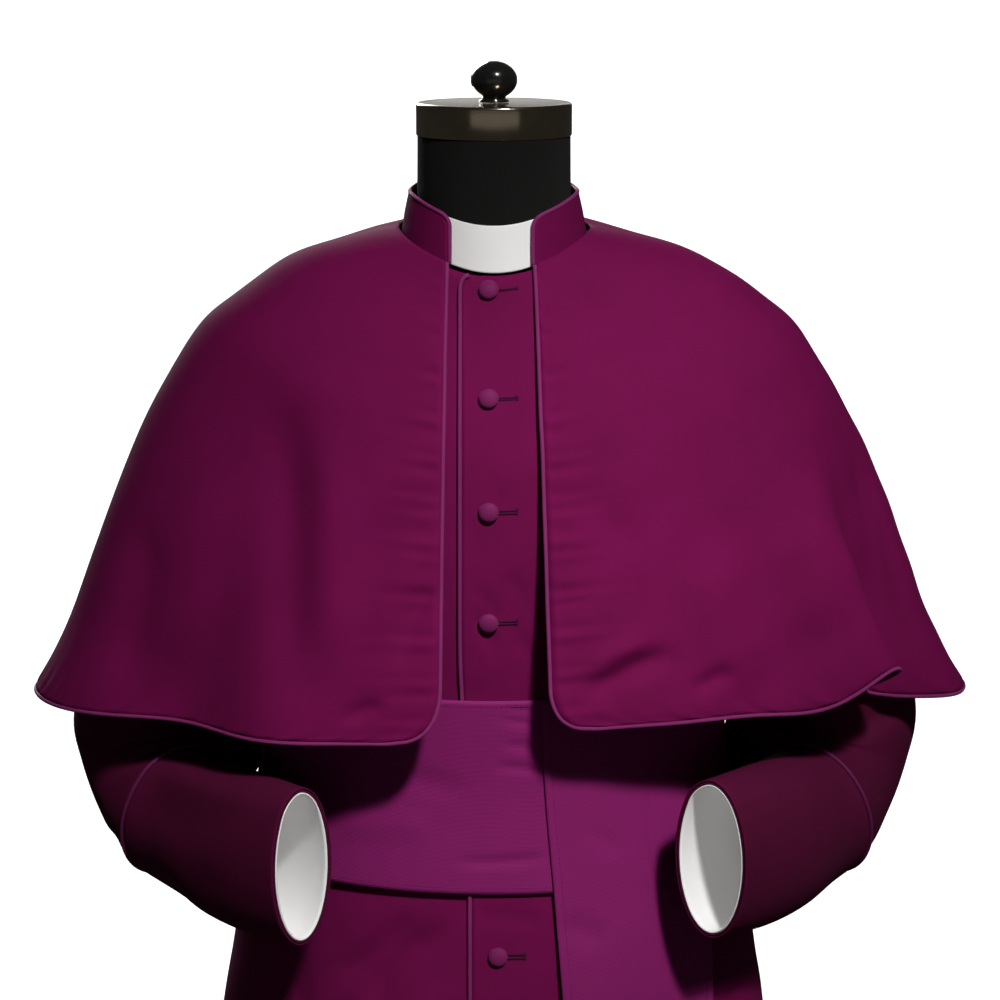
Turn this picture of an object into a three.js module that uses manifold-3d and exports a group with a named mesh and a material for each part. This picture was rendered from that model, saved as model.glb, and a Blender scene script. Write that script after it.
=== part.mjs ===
// A clerical cassock with its shoulder cape, waist band and collar tab, worn by a limbless dress form on a stand.
// Millimetres. X runs to the wearer's left, the front faces -Y, and Z is up from the floor under the stand.
import * as THREE from "three";
import Module from "manifold-3d";
import { mergeVertices } from "three/addons/utils/BufferGeometryUtils.js";

const wasm = await Module();
wasm.setup();

// ---------------------------------------------------------------- driving sizes

const CLOTH = 1.2; // wall of the cassock, sleeves, collar and linings
const HEAVY = 1.5; // wall of the cape and the waist band, both doubled cloth
const GAP = 0.35; // air between pieces that are sewn or lie together
const STACK = { over: 2.2, band: 6.2, fall: 8.7, keeper: 8.5 }; // outer faces above the body's level
const PIPE = 1.6; // radius of the piping cord in its cover
const PIPE_STAND = 0.8; // air between a cord and the edge that it rounds
const PIPE_SIDES = 5;

const SIDE_SEAM = 95; // azimuth of the side and shoulder seams, from the centre front
const OVERLAP = 24; // each front passes the centre by this much
const SKEW = 7; // below the band the closing sits this much towards the wearer's left
const OVERLAP_ROUND = 16; // rounded top corner of the overlapping front
const BUTTON = { across: 15, high: 5.2, first: 13, pitch: 83.5, skirtPitch: 88, lowest: 110, offset: -4 };

const BAND = { top: 1161, bottom: 1008 };
const FALL = { end: 330, left: 11, right: 61, leftEnd: 17, rightEnd: 43 }; // azimuths at the band's top and at the end
const KEEPER = { azimuth: -78, width: 5, reach: 5 };

const CAPE_EDGE = {
  "-1": { neck: 37, hem: 42, round: 37 }, // distance from the centre, and the rounded lower corner
  1: { neck: 32, hem: 44, round: 33 },
};
const COLLAR = { right: 35, left: 31, round: 9 }; // where the collar's two ends stop short of the centre
const TAB = { reach: 38, inset: 3.1 };

const ARMHOLE = { y: 8, z: 1385, tall: 66.8, deep: 60.8, from: 150, to: 230 };

const BASE = { radius: 190, thick: 10, bevel: 3 };
const POLE = { radius: 16, top: 849.6 };
const CAP = { radius: 60, bottom: 1575, top: 1600, edge: 1.5 };
const KNOB = { radius: 18.5, half: 14.5, foot: 8, middle: 1617 };

// ---------------------------------------------------------------- section tables

// Levels of the cassock from the neck seam to the hem: heights at the front, side and back, then its reaches.
// ease and drop give the dress form inside: how much smaller it is, and how much lower its level lies.
const BODY = [
  { zFront: 1474, zSide: 1500, zBack: 1512, half: 72, front: 69, back: 68, ease: 9, drop: 5 },
  { zFront: 1447, zSide: 1489, zBack: 1500, half: 100, front: 81, back: 82, ease: 6, drop: 7 },
  { zFront: 1413, zSide: 1471, zBack: 1470, half: 146, front: 98, back: 98, ease: 6, drop: 8 },
  { zFront: 1374, zSide: 1445, zBack: 1430, half: 186, front: 113, back: 112, ease: 7, drop: 8 },
  { zFront: 1330, zSide: 1395, zBack: 1385, half: 194, front: 125, back: 119, ease: 9, drop: 8 },
  { zFront: 1272, zSide: 1320, zBack: 1318, half: 190, front: 131, back: 118, ease: 11, drop: 6 },
  { zFront: 1215, zSide: 1235, zBack: 1238, half: 184, front: 130, back: 109, ease: 13, drop: 2 },
  { zFront: 1150, zSide: 1152, zBack: 1154, half: 180, front: 126, back: 106, ease: 18, drop: 0 },
  { zFront: 1085, zSide: 1085, zBack: 1085, half: 181, front: 124, back: 112, ease: 20, drop: 0 },
  { zFront: 1010, zSide: 1010, zBack: 1010, half: 197, front: 131, back: 134, ease: 28, drop: 0 },
  { zFront: 930, zSide: 930, zBack: 930, half: 211, front: 143, back: 156, ease: 38, drop: 0 },
  { zFront: 850, zSide: 850, zBack: 850, half: 222, front: 154, back: 172, ease: 60, drop: 0 },
  { zFront: 640, zSide: 640, zBack: 640, half: 249, front: 178, back: 206, ease: 0, drop: 0 },
  { zFront: 380, zSide: 380, zBack: 380, half: 283, front: 205, back: 243, ease: 0, drop: 0 },
  { zFront: 92, zSide: 92, zBack: 92, half: 320, front: 236, back: 282, ease: 0, drop: 0 },
];
const FORM_LEVELS = 12; // the form ends at the hips
const NECK = [
  { z: 1574.6, radius: 59 },
  { z: 1548, radius: 59.2 },
  { z: 1520, radius: 59.5 },
];

// Soft folds of the skirt: azimuth and width in degrees, reach out at the hem, and the level where it starts.
const BODY_FOLDS = [
  { azimuth: -152, width: 10, out: 26, lift: 0, from: 9 },
  { azimuth: -118, width: 9, out: 20, lift: 0, from: 10 },
  { azimuth: -84, width: 10, out: 24, lift: 0, from: 10 },
  { azimuth: -47, width: 9, out: 17, lift: 0, from: 9.5 },
  { azimuth: 66, width: 9, out: 18, lift: 0, from: 9.5 },
  { azimuth: 97, width: 9, out: 25, lift: 0, from: 10 },
  { azimuth: 128, width: 10, out: 19, lift: 0, from: 9.5 },
  { azimuth: 163, width: 9, out: 25, lift: 0, from: 9 },
];

// Levels of the cape from the neck seam to the hem.
const CAPE = [
  { zFront: 1479, zSide: 1505, zBack: 1517, half: 74, front: 72, back: 71 },
  { zFront: 1451, zSide: 1497, zBack: 1505, half: 110, front: 86, back: 88 },
  { zFront: 1416, zSide: 1480, zBack: 1476, half: 160, front: 105, back: 106 },
  { zFront: 1378, zSide: 1451, zBack: 1436, half: 205, front: 121, back: 124 },
  { zFront: 1351, zSide: 1425, zBack: 1404, half: 233, front: 130, back: 132 },
  { zFront: 1312, zSide: 1374, zBack: 1356, half: 264, front: 140, back: 138 },
  { zFront: 1272, zSide: 1320, zBack: 1304, half: 290, front: 148, back: 142 },
  { zFront: 1225, zSide: 1253, zBack: 1246, half: 316, front: 157, back: 144 },
  { zFront: 1184, zSide: 1195, zBack: 1194, half: 338, front: 165, back: 150 },
  { zFront: 1140, zSide: 1138, zBack: 1140, half: 367, front: 174, back: 158 },
];
const CAPE_LEVELS = [0, 1, 2, 3, 4, 5, 6, 7, 8, 8.5, 8.85, 9];
const CAPE_COLUMNS = 24;

// Folds of the cape; the deep tuck beside the wearer's left elbow stands behind a lifted ridge.
const CAPE_FOLDS = [
  { azimuth: -158, width: 11, out: 14, lift: 0, from: 3 },
  { azimuth: -128, width: 10, out: -12, lift: 0, from: 3 },
  { azimuth: -46, width: 13, out: -26, lift: 0, from: 3 },
  { azimuth: -27, width: 9, out: 10, lift: 0, from: 4 },
  { azimuth: 14, width: 14, out: 2, lift: 12, from: 5 },
  { azimuth: 34, width: 13, out: -8, lift: 12, from: 4 },
  { azimuth: 55, width: 9, out: 8, lift: 32, from: 5 },
  { azimuth: 67, width: 7, out: -56, lift: 0, from: 5 },
  { azimuth: 88, width: 38, out: 9, lift: 2, from: -2 },
  { azimuth: 120, width: 10, out: -12, lift: 0, from: 3 },
  { azimuth: 150, width: 11, out: 14, lift: 0, from: 3 },
];

// Sections of the wearer's left sleeve from the armhole to the mouth: centre, half height along the elbow side,
// half width across it, the heading of the forearm and the pitch of the elbow side (up at -90, down at 90).
const SLEEVE = [
  { x: 166, y: 8, z: 1385, tall: 65, wide: 59, heading: 0, pitch: -90 },
  { x: 194, y: 8, z: 1384, tall: 65, wide: 59, heading: 0, pitch: -87 },
  { x: 215, y: 8, z: 1363, tall: 59, wide: 54, heading: 4, pitch: -75 },
  { x: 230, y: 9, z: 1328, tall: 51, wide: 53, heading: 10, pitch: -58 },
  { x: 245, y: 10, z: 1280, tall: 48, wide: 54, heading: 16, pitch: -41 },
  { x: 261, y: 12, z: 1220, tall: 49, wide: 54, heading: 24, pitch: -25 },
  { x: 276, y: 14, z: 1162, tall: 53, wide: 55, heading: 32, pitch: -14 },
  { x: 287, y: 14, z: 1112, tall: 55, wide: 54, heading: 40, pitch: -4 },
  { x: 280, y: 8, z: 1084, tall: 57, wide: 54, heading: 44, pitch: 20 },
  { x: 270, y: -8, z: 1061, tall: 56, wide: 53, heading: 47, pitch: 46 },
  { x: 260, y: -34, z: 1047, tall: 54, wide: 48, heading: 48, pitch: 70 },
  { x: 238, y: -60, z: 1041, tall: 56, wide: 42, heading: 49, pitch: 86 },
  { x: 212, y: -94, z: 1038, tall: 60, wide: 38, heading: 49, pitch: 90 },
  { x: 180, y: -131, z: 1039, tall: 62, wide: 33, heading: 49, pitch: 90 },
  { x: 144, y: -168, z: 1042, tall: 60, wide: 26, heading: 49, pitch: 90 },
];
const SLEEVE_SIDES = 12;
// Loose cloth at the bend sags in beside the body: where, how wide, and how far inwards and backwards.
const SLACK = { turn: 84, width: 46, place: 7.8, spread: 1.3, in: 55, back: -18 };
const MOUTH = { "-1": { shift: 0, raise: 0, open: 0 }, 1: { shift: 18, raise: 6, open: 5 } }; // how the mouths differ

// ---------------------------------------------------------------- colours

const cloth = () => new THREE.MeshStandardMaterial({ color: 0x5e1140, roughness: 0.75, metalness: 0 });
const bandCloth = () => new THREE.MeshStandardMaterial({ color: 0x6f1c56, roughness: 0.6, metalness: 0 });
const pipingCloth = () => new THREE.MeshStandardMaterial({ color: 0x80235f, roughness: 0.5, metalness: 0 });
const whiteCloth = () => new THREE.MeshStandardMaterial({ color: 0xe9e6e0, roughness: 0.6, metalness: 0 });
const ribbon = () => new THREE.MeshStandardMaterial({ color: 0xa01a60, roughness: 0.5, metalness: 0 });
const blackJersey = () => new THREE.MeshStandardMaterial({ color: 0x141413, roughness: 0.95, metalness: 0 });
const blackGloss = () => new THREE.MeshStandardMaterial({ color: 0x080807, roughness: 0.15, metalness: 0 });
const chrome = () => new THREE.MeshStandardMaterial({ color: 0xb9aa93, roughness: 0.15, metalness: 1 });

// ---------------------------------------------------------------- helpers

const group = new THREE.Group();
const radians = THREE.MathUtils.degToRad;
const degrees = THREE.MathUtils.radToDeg;

function add(name, geometry, material) {
  const mesh = new THREE.Mesh(geometry, material);
  mesh.name = name;
  group.add(mesh);
  return mesh;
}

// One row of a table at a fractional place, every column on a smooth curve through its values.
function sample(table, place) {
  const last = table.length - 1;
  const i = Math.min(Math.max(Math.floor(place), 0), last - 1);
  const t = place - i;
  const near = [i - 1, i, i + 1, i + 2].map((k) => table[Math.min(Math.max(k, 0), last)]);
  const row = {};
  for (const key of Object.keys(table[0])) {
    const [a, b, c, d] = near.map((r) => r[key]);
    row[key] = b + 0.5 * t * (c - a + t * (2 * a - 5 * b + 4 * c - d + t * (3 * (b - c) + d - a)));
  }
  return row;
}

function smoothStep(t) {
  return THREE.MathUtils.smoothstep(t, 0, 1);
}

// A garment surface: azimuth in degrees from the centre front towards the wearer's left, and a place in the table.
function levels(table, folds = []) {
  return (azimuth, place) => {
    const row = sample(table, place);
    const turn = radians(azimuth);
    const ahead = Math.cos(turn) > 0;
    const share = Math.cos(turn) ** 2;
    const reach = ahead ? row.front : row.back;
    const height = row.zSide + ((ahead ? row.zFront : row.zBack) - row.zSide) * share;
    let out = 0;
    let lift = 0;
    for (const fold of folds) {
      const away = ((((azimuth - fold.azimuth) % 360) + 540) % 360) - 180;
      const grown = smoothStep((place - fold.from) / (table.length - 1 - fold.from));
      const weight = grown * Math.exp(-((away / fold.width) ** 2));
      out += fold.out * weight;
      lift += fold.lift * weight;
    }
    return new THREE.Vector3(
      (row.half + out) * Math.sin(turn),
      -(reach + out) * Math.cos(turn),
      height + lift,
    );
  };
}

const NUDGE = 0.02; // step for slopes, in degrees and in table rows

function normalAt(surface, a, s) {
  const down = surface(a, s + NUDGE).sub(surface(a, s - NUDGE));
  const across = surface(a + NUDGE, s).sub(surface(a - NUDGE, s));
  return down.cross(across).normalize();
}

// A surface whose third argument is a height above it, along its own normal.
function raised(surface) {
  return (a, s, height = 0) => surface(a, s).addScaledVector(normalAt(surface, a, s), height);
}

// Triangles as a geometry with one vertex for each point.
function geometryOf(points, triangles) {
  const geometry = new THREE.BufferGeometry();
  geometry.setAttribute("position", new THREE.Float32BufferAttribute(points.flatMap((p) => p.toArray()), 3));
  geometry.setIndex(triangles);
  geometry.computeVertexNormals();
  return geometry;
}

// A cloth wall over rows of places: its outer face, its inner face, and the rim that joins them.
function clothWall(panel, places, wall, lift = 0, round = false) {
  const rows = places.length;
  const columns = places[0].length;
  const points = [];
  for (const height of [lift, lift - wall])
    for (const row of places)
      for (const [a, s] of row) points.push(panel(a, s, height));
  const outer = (r, c) => r * columns + (c % columns);
  const inner = (r, c) => rows * columns + outer(r, c);
  const triangles = [];
  const quad = (a, b, c, d) => triangles.push(a, b, c, a, c, d);
  const spans = round ? columns : columns - 1;
  for (let c = 0; c < spans; c++) {
    for (let r = 0; r < rows - 1; r++) {
      quad(outer(r, c), outer(r + 1, c), outer(r + 1, c + 1), outer(r, c + 1));
      quad(inner(r, c), inner(r, c + 1), inner(r + 1, c + 1), inner(r + 1, c));
    }
    quad(outer(0, c), outer(0, c + 1), inner(0, c + 1), inner(0, c));
    quad(outer(rows - 1, c + 1), outer(rows - 1, c), inner(rows - 1, c), inner(rows - 1, c + 1));
  }
  for (let r = 0; r < rows - 1 && !round; r++) {
    quad(outer(r + 1, 0), outer(r, 0), inner(r, 0), inner(r + 1, 0));
    quad(outer(r, spans), outer(r + 1, spans), inner(r + 1, spans), inner(r, spans));
  }
  return geometryOf(points, triangles);
}

// A closed loft through rings of points, with a flat lid at each end.
function loft(rings) {
  const columns = rings[0].length;
  const points = rings.flat();
  const triangles = [];
  rings.slice(1).forEach((_, r) => {
    for (let c = 0; c < columns; c++) {
      const next = (c + 1) % columns;
      const [a, b] = [r * columns + c, r * columns + next];
      const [d, e] = [a + columns, b + columns];
      triangles.push(a, d, e, a, e, b);
    }
  });
  const lastRing = (rings.length - 1) * columns;
  for (let c = 1; c < columns - 1; c++) {
    triangles.push(0, c, c + 1);
    triangles.push(lastRing, lastRing + c + 1, lastRing + c);
  }
  return geometryOf(points, triangles);
}

function evenly(from, to, count) {
  return Array.from({ length: count + 1 }, (_, k) => from + ((to - from) * k) / count);
}

// Azimuth at which a level is a given distance from the centre line, on the front.
function azimuthAt(table, place, distance) {
  return degrees(Math.asin(distance / sample(table, place).half));
}

// How far a rounded corner cuts in, at a distance from the edge that it rounds.
function rounding(radius, distance) {
  const short = Math.max(radius - distance, 0);
  return radius - Math.sqrt(radius ** 2 - short ** 2);
}

// The place in a table whose level is at a height on the front.
function placeOf(table, height) {
  let low = 0;
  let high = table.length - 1;
  for (let k = 0; k < 40; k++) {
    const middle = (low + high) / 2;
    if (sample(table, middle).zFront > height) low = middle;
    else high = middle;
  }
  return (low + high) / 2;
}

// Piping: a cord just outside an edge of a panel, its middle at a height over the panel's outer face.
function piping(panel, edge, height, outward) {
  const rings = edge.map(([a, s], k) => {
    const before = panel(...edge[Math.max(k - 1, 0)], height);
    const after = panel(...edge[Math.min(k + 1, edge.length - 1)], height);
    const normal = normalAt(panel, a, s);
    const away = after.sub(before).cross(normal).normalize();
    const middle = panel(a, s, height).addScaledVector(away, outward * (PIPE + PIPE_STAND));
    return evenly(0, 2 * Math.PI, PIPE_SIDES).slice(1).map((turn) =>
      middle
        .clone()
        .addScaledVector(normal, PIPE * Math.cos(turn))
        .addScaledVector(away, -PIPE * Math.sin(turn)),
    );
  });
  return loft(rings);
}

// ---------------------------------------------------------------- booleans

function solidOf(geometry) {
  const bare = geometry.clone();
  bare.deleteAttribute("normal");
  bare.deleteAttribute("uv");
  const merged = mergeVertices(bare, 1e-3);
  return new wasm.Manifold(
    new wasm.Mesh({
      numProp: 3,
      vertProperties: merged.attributes.position.array,
      triVerts: new Uint32Array(merged.index.array),
    }),
  );
}

function geometryFrom(solid) {
  const mesh = solid.getMesh();
  const geometry = new THREE.BufferGeometry();
  geometry.setAttribute("position", new THREE.BufferAttribute(new Float32Array(mesh.vertProperties), 3));
  geometry.setIndex(Array.from(mesh.triVerts));
  return geometry;
}

// Both armholes cut from a panel.
function cutArmholes(geometry) {
  let solid = solidOf(geometry);
  for (const side of [-1, 1]) {
    const hole = new THREE.CylinderGeometry(1, 1, ARMHOLE.to - ARMHOLE.from, 28);
    hole.rotateZ(Math.PI / 2);
    hole.scale(1, ARMHOLE.deep, ARMHOLE.tall);
    hole.translate((side * (ARMHOLE.from + ARMHOLE.to)) / 2, ARMHOLE.y, ARMHOLE.z);
    solid = solid.subtract(solidOf(hole));
  }
  return geometryFrom(solid);
}

// ---------------------------------------------------------------- cassock body

const body = raised(levels(BODY, BODY_FOLDS));
const HEM = BODY.length - 1;
const FRONT_COLUMNS = 12;
const BACK_COLUMNS = 16;
const bodyRows = [0, 0.16, 0.45, 1, 2, 3, 4, 5, 6, 7, 8, 9, 10, 11, 12, 13, HEM];
const seamDegrees = (place) => degrees(GAP / sample(BODY, place).half) / 2;

const skewAt = (place) => SKEW * smoothStep((place - 6) / 3);

// Where the overlapping front's free edge lies: straight down, with a rounded top corner.
function overlapEdge(place) {
  const fromTop = place * 28; // the first level is about 28 mm deep
  return -azimuthAt(BODY, place, OVERLAP - skewAt(place) - rounding(OVERLAP_ROUND, fromTop));
}

function frontPlaces(side) {
  return bodyRows.map((s) => {
    const seam = SIDE_SEAM - seamDegrees(s);
    if (side > 0) return evenly(overlapEdge(s), seam, FRONT_COLUMNS).map((a) => [a, s]);
    return evenly(-seam, azimuthAt(BODY, s, OVERLAP), FRONT_COLUMNS).map((a) => [a, s]);
  });
}

const backPlaces = bodyRows.map((s) => {
  const seam = SIDE_SEAM + seamDegrees(s);
  return evenly(seam, 360 - seam, BACK_COLUMNS).map((a) => [a, s]);
});

// The overlapping front lies on the other near the centre and comes down to its level before the side seam.
const overFront = (a, s, height = 0) => body(a, s, height + STACK.over * (1 - smoothStep((a - 12) / 30)));

add("cassock_front_right", cutArmholes(clothWall(body, frontPlaces(-1), CLOTH)), cloth());
add("cassock_front_left", cutArmholes(clothWall(overFront, frontPlaces(1), CLOTH)), cloth());
add("cassock_back", cutArmholes(clothWall(body, backPlaces, CLOTH)), cloth());

const overlapEdgeRows = [0.02, 0.16, 0.45, 1, 2, 3, 4, 5, 6, 7, 8, 9, 10, 11, 12, 13, 13.96];
const overlapEdgePlaces = overlapEdgeRows.map((s) => [overlapEdge(s), s]);
const overlapPipingHeight = PIPE + 2 * GAP - STACK.over; // it rests on the front beneath
add("overlap_piping", piping(overFront, overlapEdgePlaces, overlapPipingHeight, 1), pipingCloth());

// ---------------------------------------------------------------- buttons

// A covered button: a low dome on a flat back.
function buttonGeometry() {
  const r = BUTTON.across / 2;
  const profile = [
    [0, 0],
    [r, 0],
    [r * 0.85, BUTTON.high * 0.7],
    [0, BUTTON.high],
  ].map(([x, y]) => new THREE.Vector2(x, y));
  return new THREE.LatheGeometry(profile, 10).rotateX(Math.PI / 2);
}

// Places down the centre front, an even walk along the cloth from the neck seam.
function buttonPlaces() {
  const places = [];
  const step = 0.005;
  let walked = 0;
  let next = BUTTON.first;
  for (let s = 0; s < HEM; s += step) {
    walked += body(0, s + step).distanceTo(body(0, s));
    if (walked < next) continue;
    const height = body(0, s).z;
    next += height > BAND.top + BUTTON.pitch ? BUTTON.pitch : BUTTON.skirtPitch;
    const covered = height < BAND.top + BUTTON.across && height > BAND.bottom - BUTTON.across;
    if (!covered && height > BUTTON.lowest) places.push(s);
  }
  return places;
}

buttonPlaces().forEach((s, k) => {
  const azimuth = azimuthAt(BODY, s, BUTTON.offset + skewAt(s));
  const normal = normalAt(overFront, azimuth, s);
  const button = add(`button_${String(k + 1).padStart(2, "0")}`, buttonGeometry(), cloth());
  button.position.copy(overFront(azimuth, s, GAP));
  button.quaternion.setFromUnitVectors(new THREE.Vector3(0, 0, 1), normal);
});

// ---------------------------------------------------------------- collar and tab

const COLLAR_LEVELS = [
  { zFront: 1512, zSide: 1531, zBack: 1547, half: 66, front: 65, back: 65 },
  { zFront: 1495, zSide: 1517, zBack: 1531, half: 69, front: 67, back: 66.5 },
  { zFront: 1475.6, zSide: 1501.6, zBack: 1513.6, half: 71.5, front: 69, back: 68 },
];
const COLLAR_COLUMNS = 22;
const collar = raised(levels(COLLAR_LEVELS));
const collarRows = [0, 0.15, 0.45, 2];
const collarDeep = 18; // one level of the collar

const collarPlaces = collarRows.map((s) => {
  const cut = rounding(COLLAR.round, s * collarDeep);
  const left = azimuthAt(COLLAR_LEVELS, s, COLLAR.left + cut);
  const right = azimuthAt(COLLAR_LEVELS, s, COLLAR.right + cut);
  return evenly(left, 360 - right, COLLAR_COLUMNS).map((a) => [a, s]);
});
add("collar", clothWall(collar, collarPlaces, HEAVY), cloth());

const collarEdge = [
  ...collarPlaces.slice(1).reverse().map((row) => row[0]),
  ...collarPlaces[0],
  ...collarPlaces.slice(1).map((row) => row[COLLAR_COLUMNS]),
].map(([a, s]) => [a, Math.min(s, 1.85)]);
add("collar_piping", piping(collar, collarEdge, -HEAVY / 2, -1), pipingCloth());

const tabPlaces = [-0.02, 1.9].map((s) => {
  const reach = azimuthAt(COLLAR_LEVELS, s, TAB.reach);
  return evenly(-reach, reach, 8).map((a) => [a, s]);
});
add("collar_tab", clothWall(collar, tabPlaces, 1, -TAB.inset), whiteCloth());

// ---------------------------------------------------------------- sleeves, cuffs and linings

// The sleeve of one side: a turn in degrees from the elbow side, a place in the table and a height in the section.
function sleeveOf(side) {
  const mouth = MOUTH[side];
  return (turn, place, height = 0) => {
    const row = sample(SLEEVE, place);
    const near = smoothStep((place - 9) / (SLEEVE.length - 10));
    const heading = radians(row.heading);
    const pitch = radians(row.pitch);
    const elbow = new THREE.Vector3(
      Math.cos(heading) * Math.cos(pitch),
      Math.sin(heading) * Math.cos(pitch),
      -Math.sin(pitch),
    );
    const across = new THREE.Vector3(Math.sin(heading), -Math.cos(heading), 0);
    const away = (((side * turn - SLACK.turn) % 360) + 540) % 360 - 180;
    const slack = Math.exp(-((away / SLACK.width) ** 2) - ((place - SLACK.place) / SLACK.spread) ** 2);
    const point = new THREE.Vector3(row.x + mouth.shift * near, row.y, row.z + mouth.raise * near)
      .add(new THREE.Vector3(-SLACK.in * slack, SLACK.back * slack, 0))
      .addScaledVector(elbow, (row.tall + height) * Math.cos(radians(turn)))
      .addScaledVector(across, -side * (row.wide + mouth.open * near + height) * Math.sin(radians(turn)));
    point.x *= side;
    return point;
  };
}

const sleeveRows = [0, 1, 2, 3, 4, 5, 6, 7, 8, 9, 9.6, 10.3, 11, 12, 13, SLEEVE.length - 1];
const cuffRows = sleeveRows.slice(sleeveRows.indexOf(10.3));
const liningRows = sleeveRows.slice(sleeveRows.indexOf(11));
const ringPlaces = (rows) =>
  rows.map((s) => evenly(0, 360, SLEEVE_SIDES).slice(0, SLEEVE_SIDES).map((turn) => [turn, s]));
const cuffHeight = CLOTH + 2 * GAP;
const cuffCordHeight = PIPE + 6 * GAP; // clear of the sleeve where the bent elbow pushes it inwards

// The sleeve head ends at the inner face of the body, so what is inside that face is cut away.
const insideTurns = evenly(0, 360, 36).slice(0, 36);
const insideRings = [1, 2, 3, 4, 5, 6].map((s) => insideTurns.map((a) => body(a, s, -CLOTH)));

for (const [side, name] of [[-1, "right"], [1, "left"]]) {
  const sleeve = sleeveOf(side);
  const tube = clothWall(sleeve, ringPlaces(sleeveRows), CLOTH, 0, true);
  const inside = solidOf(loft(insideRings));
  add(`sleeve_${name}`, geometryFrom(solidOf(tube).subtract(inside)), cloth());
  add(`cuff_${name}`, clothWall(sleeve, ringPlaces(cuffRows), CLOTH, cuffHeight, true), cloth());
  add(`lining_${name}`, clothWall(sleeve, ringPlaces(liningRows), 1, -cuffHeight, true), whiteCloth());
  const loop = evenly(1.5, 358.5, SLEEVE_SIDES * 2).map((turn) => [turn, cuffRows[0]]);
  add(`cuff_piping_${name}`, piping(sleeve, loop, cuffCordHeight, -1), pipingCloth());
}

// ---------------------------------------------------------------- waist band

const BAND_COLUMNS = 36;
const bandRows = [BAND.top, BAND.bottom].map((z) => placeOf(BODY, z));
const bandPlaces = bandRows.map((s) => evenly(0, 360, BAND_COLUMNS).slice(0, BAND_COLUMNS).map((a) => [a, s]));
add("band", clothWall(body, bandPlaces, HEAVY, STACK.band, true), bandCloth());

// The fall hangs over the band and then lies down the skirt.
const fallEnd = placeOf(BODY, FALL.end);
const fallRows = [...bandRows, 10, 11, 11.6, 12.3, fallEnd];
const fallPlaces = fallRows.map((s) => {
  const down = (s - bandRows[0]) / (fallEnd - bandRows[0]);
  const left = FALL.left + (FALL.leftEnd - FALL.left) * down;
  const right = FALL.right + (FALL.rightEnd - FALL.right) * down;
  return evenly(left, right, 7).map((a) => [a, s]);
});
add("band_fall", clothWall(body, fallPlaces, HEAVY, STACK.fall), bandCloth());

const keeperHalf = degrees(KEEPER.width / 2 / BODY[7].front);
const keeperPlaces = [BAND.top + KEEPER.reach, BAND.bottom - KEEPER.reach].map((z) => {
  const s = placeOf(BODY, z);
  return [KEEPER.azimuth - keeperHalf, KEEPER.azimuth + keeperHalf].map((a) => [a, s]);
});
add("band_keeper", clothWall(body, keeperPlaces, CLOTH, STACK.keeper), ribbon());

// ---------------------------------------------------------------- cape

const cape = raised(levels(CAPE, CAPE_FOLDS));
const CAPE_HEM = CAPE.length - 1;
const capeLastLevel = 45; // the last level is about this deep at the front

for (const [side, name] of [[-1, "right"], [1, "left"]]) {
  const edge = CAPE_EDGE[side];
  const places = CAPE_LEVELS.map((s) => {
    const straight = edge.neck + ((edge.hem - edge.neck) * s) / CAPE_HEM;
    const cut = rounding(edge.round, (CAPE_HEM - s) * capeLastLevel);
    const front = azimuthAt(CAPE, s, straight + cut);
    const back = 180 - degrees(GAP / 2 / sample(CAPE, s).back);
    const row = evenly(front, back, CAPE_COLUMNS).map((a) => [side * a, s]);
    return side > 0 ? row : row.reverse();
  });
  add(`cape_${name}`, clothWall(cape, places, HEAVY), cloth());
  const edgeColumn = side > 0 ? 0 : CAPE_COLUMNS;
  const hemRow = places[places.length - 1];
  const hem = side > 0 ? hemRow.slice(1, -1) : hemRow.slice(1, -1).reverse();
  const cordPlaces = [...places.map((row) => row[edgeColumn]), ...hem];
  cordPlaces[0] = [cordPlaces[0][0], 0.08];
  add(`cape_piping_${name}`, piping(cape, cordPlaces, -HEAVY / 2, side), pipingCloth());
}

// ---------------------------------------------------------------- dress form and stand

const FORM_COLUMNS = 24;

const formTable = BODY.slice(0, FORM_LEVELS).map((row) => ({
  zFront: row.zFront - row.drop,
  zSide: row.zSide - row.drop,
  zBack: row.zBack - row.drop,
  half: row.half - row.ease,
  front: row.front - row.ease,
  back: row.back - row.ease,
}));
const formSurface = levels(formTable);
const formTurns = evenly(0, 360, FORM_COLUMNS).slice(0, FORM_COLUMNS);
const formRings = [
  ...NECK.map(({ z, radius }) =>
    formTurns.map((a) => new THREE.Vector3(radius * Math.sin(radians(a)), -radius * Math.cos(radians(a)), z)),
  ),
  ...formTable.map((_, s) => formTurns.map((a) => formSurface(a, s))),
];
add("form_torso", loft(formRings), blackJersey());

function turned(profile, segments, z) {
  const points = profile.map(([x, y]) => new THREE.Vector2(x, y));
  return new THREE.LatheGeometry(points, segments).rotateX(Math.PI / 2).translate(0, 0, z);
}

const capHigh = CAP.top - CAP.bottom;
const capProfile = [
  [0, 0],
  [CAP.radius - CAP.edge, 0],
  [CAP.radius, CAP.edge],
  [CAP.radius, capHigh - CAP.edge],
  [CAP.radius - CAP.edge, capHigh],
  [0, capHigh],
];
add("form_cap", turned(capProfile, 24, CAP.bottom), chrome());

const knobFoot = CAP.top + GAP - KNOB.middle;
const knobProfile = [[0, knobFoot], [KNOB.foot + 3, knobFoot], [KNOB.foot, knobFoot + 2.5]];
for (const turn of evenly(-50, 70, 4))
  knobProfile.push([KNOB.radius * Math.cos(radians(turn)), KNOB.half * Math.sin(radians(turn))]);
knobProfile.push([0, KNOB.half]);
add("form_knob", turned(knobProfile, 18, KNOB.middle), blackGloss());

const poleLong = POLE.top - BASE.thick - GAP;
const pole = new THREE.CylinderGeometry(POLE.radius, POLE.radius, poleLong, 20).rotateX(Math.PI / 2);
pole.translate(0, 0, POLE.top - poleLong / 2);
add("form_pole", pole, chrome());

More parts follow.
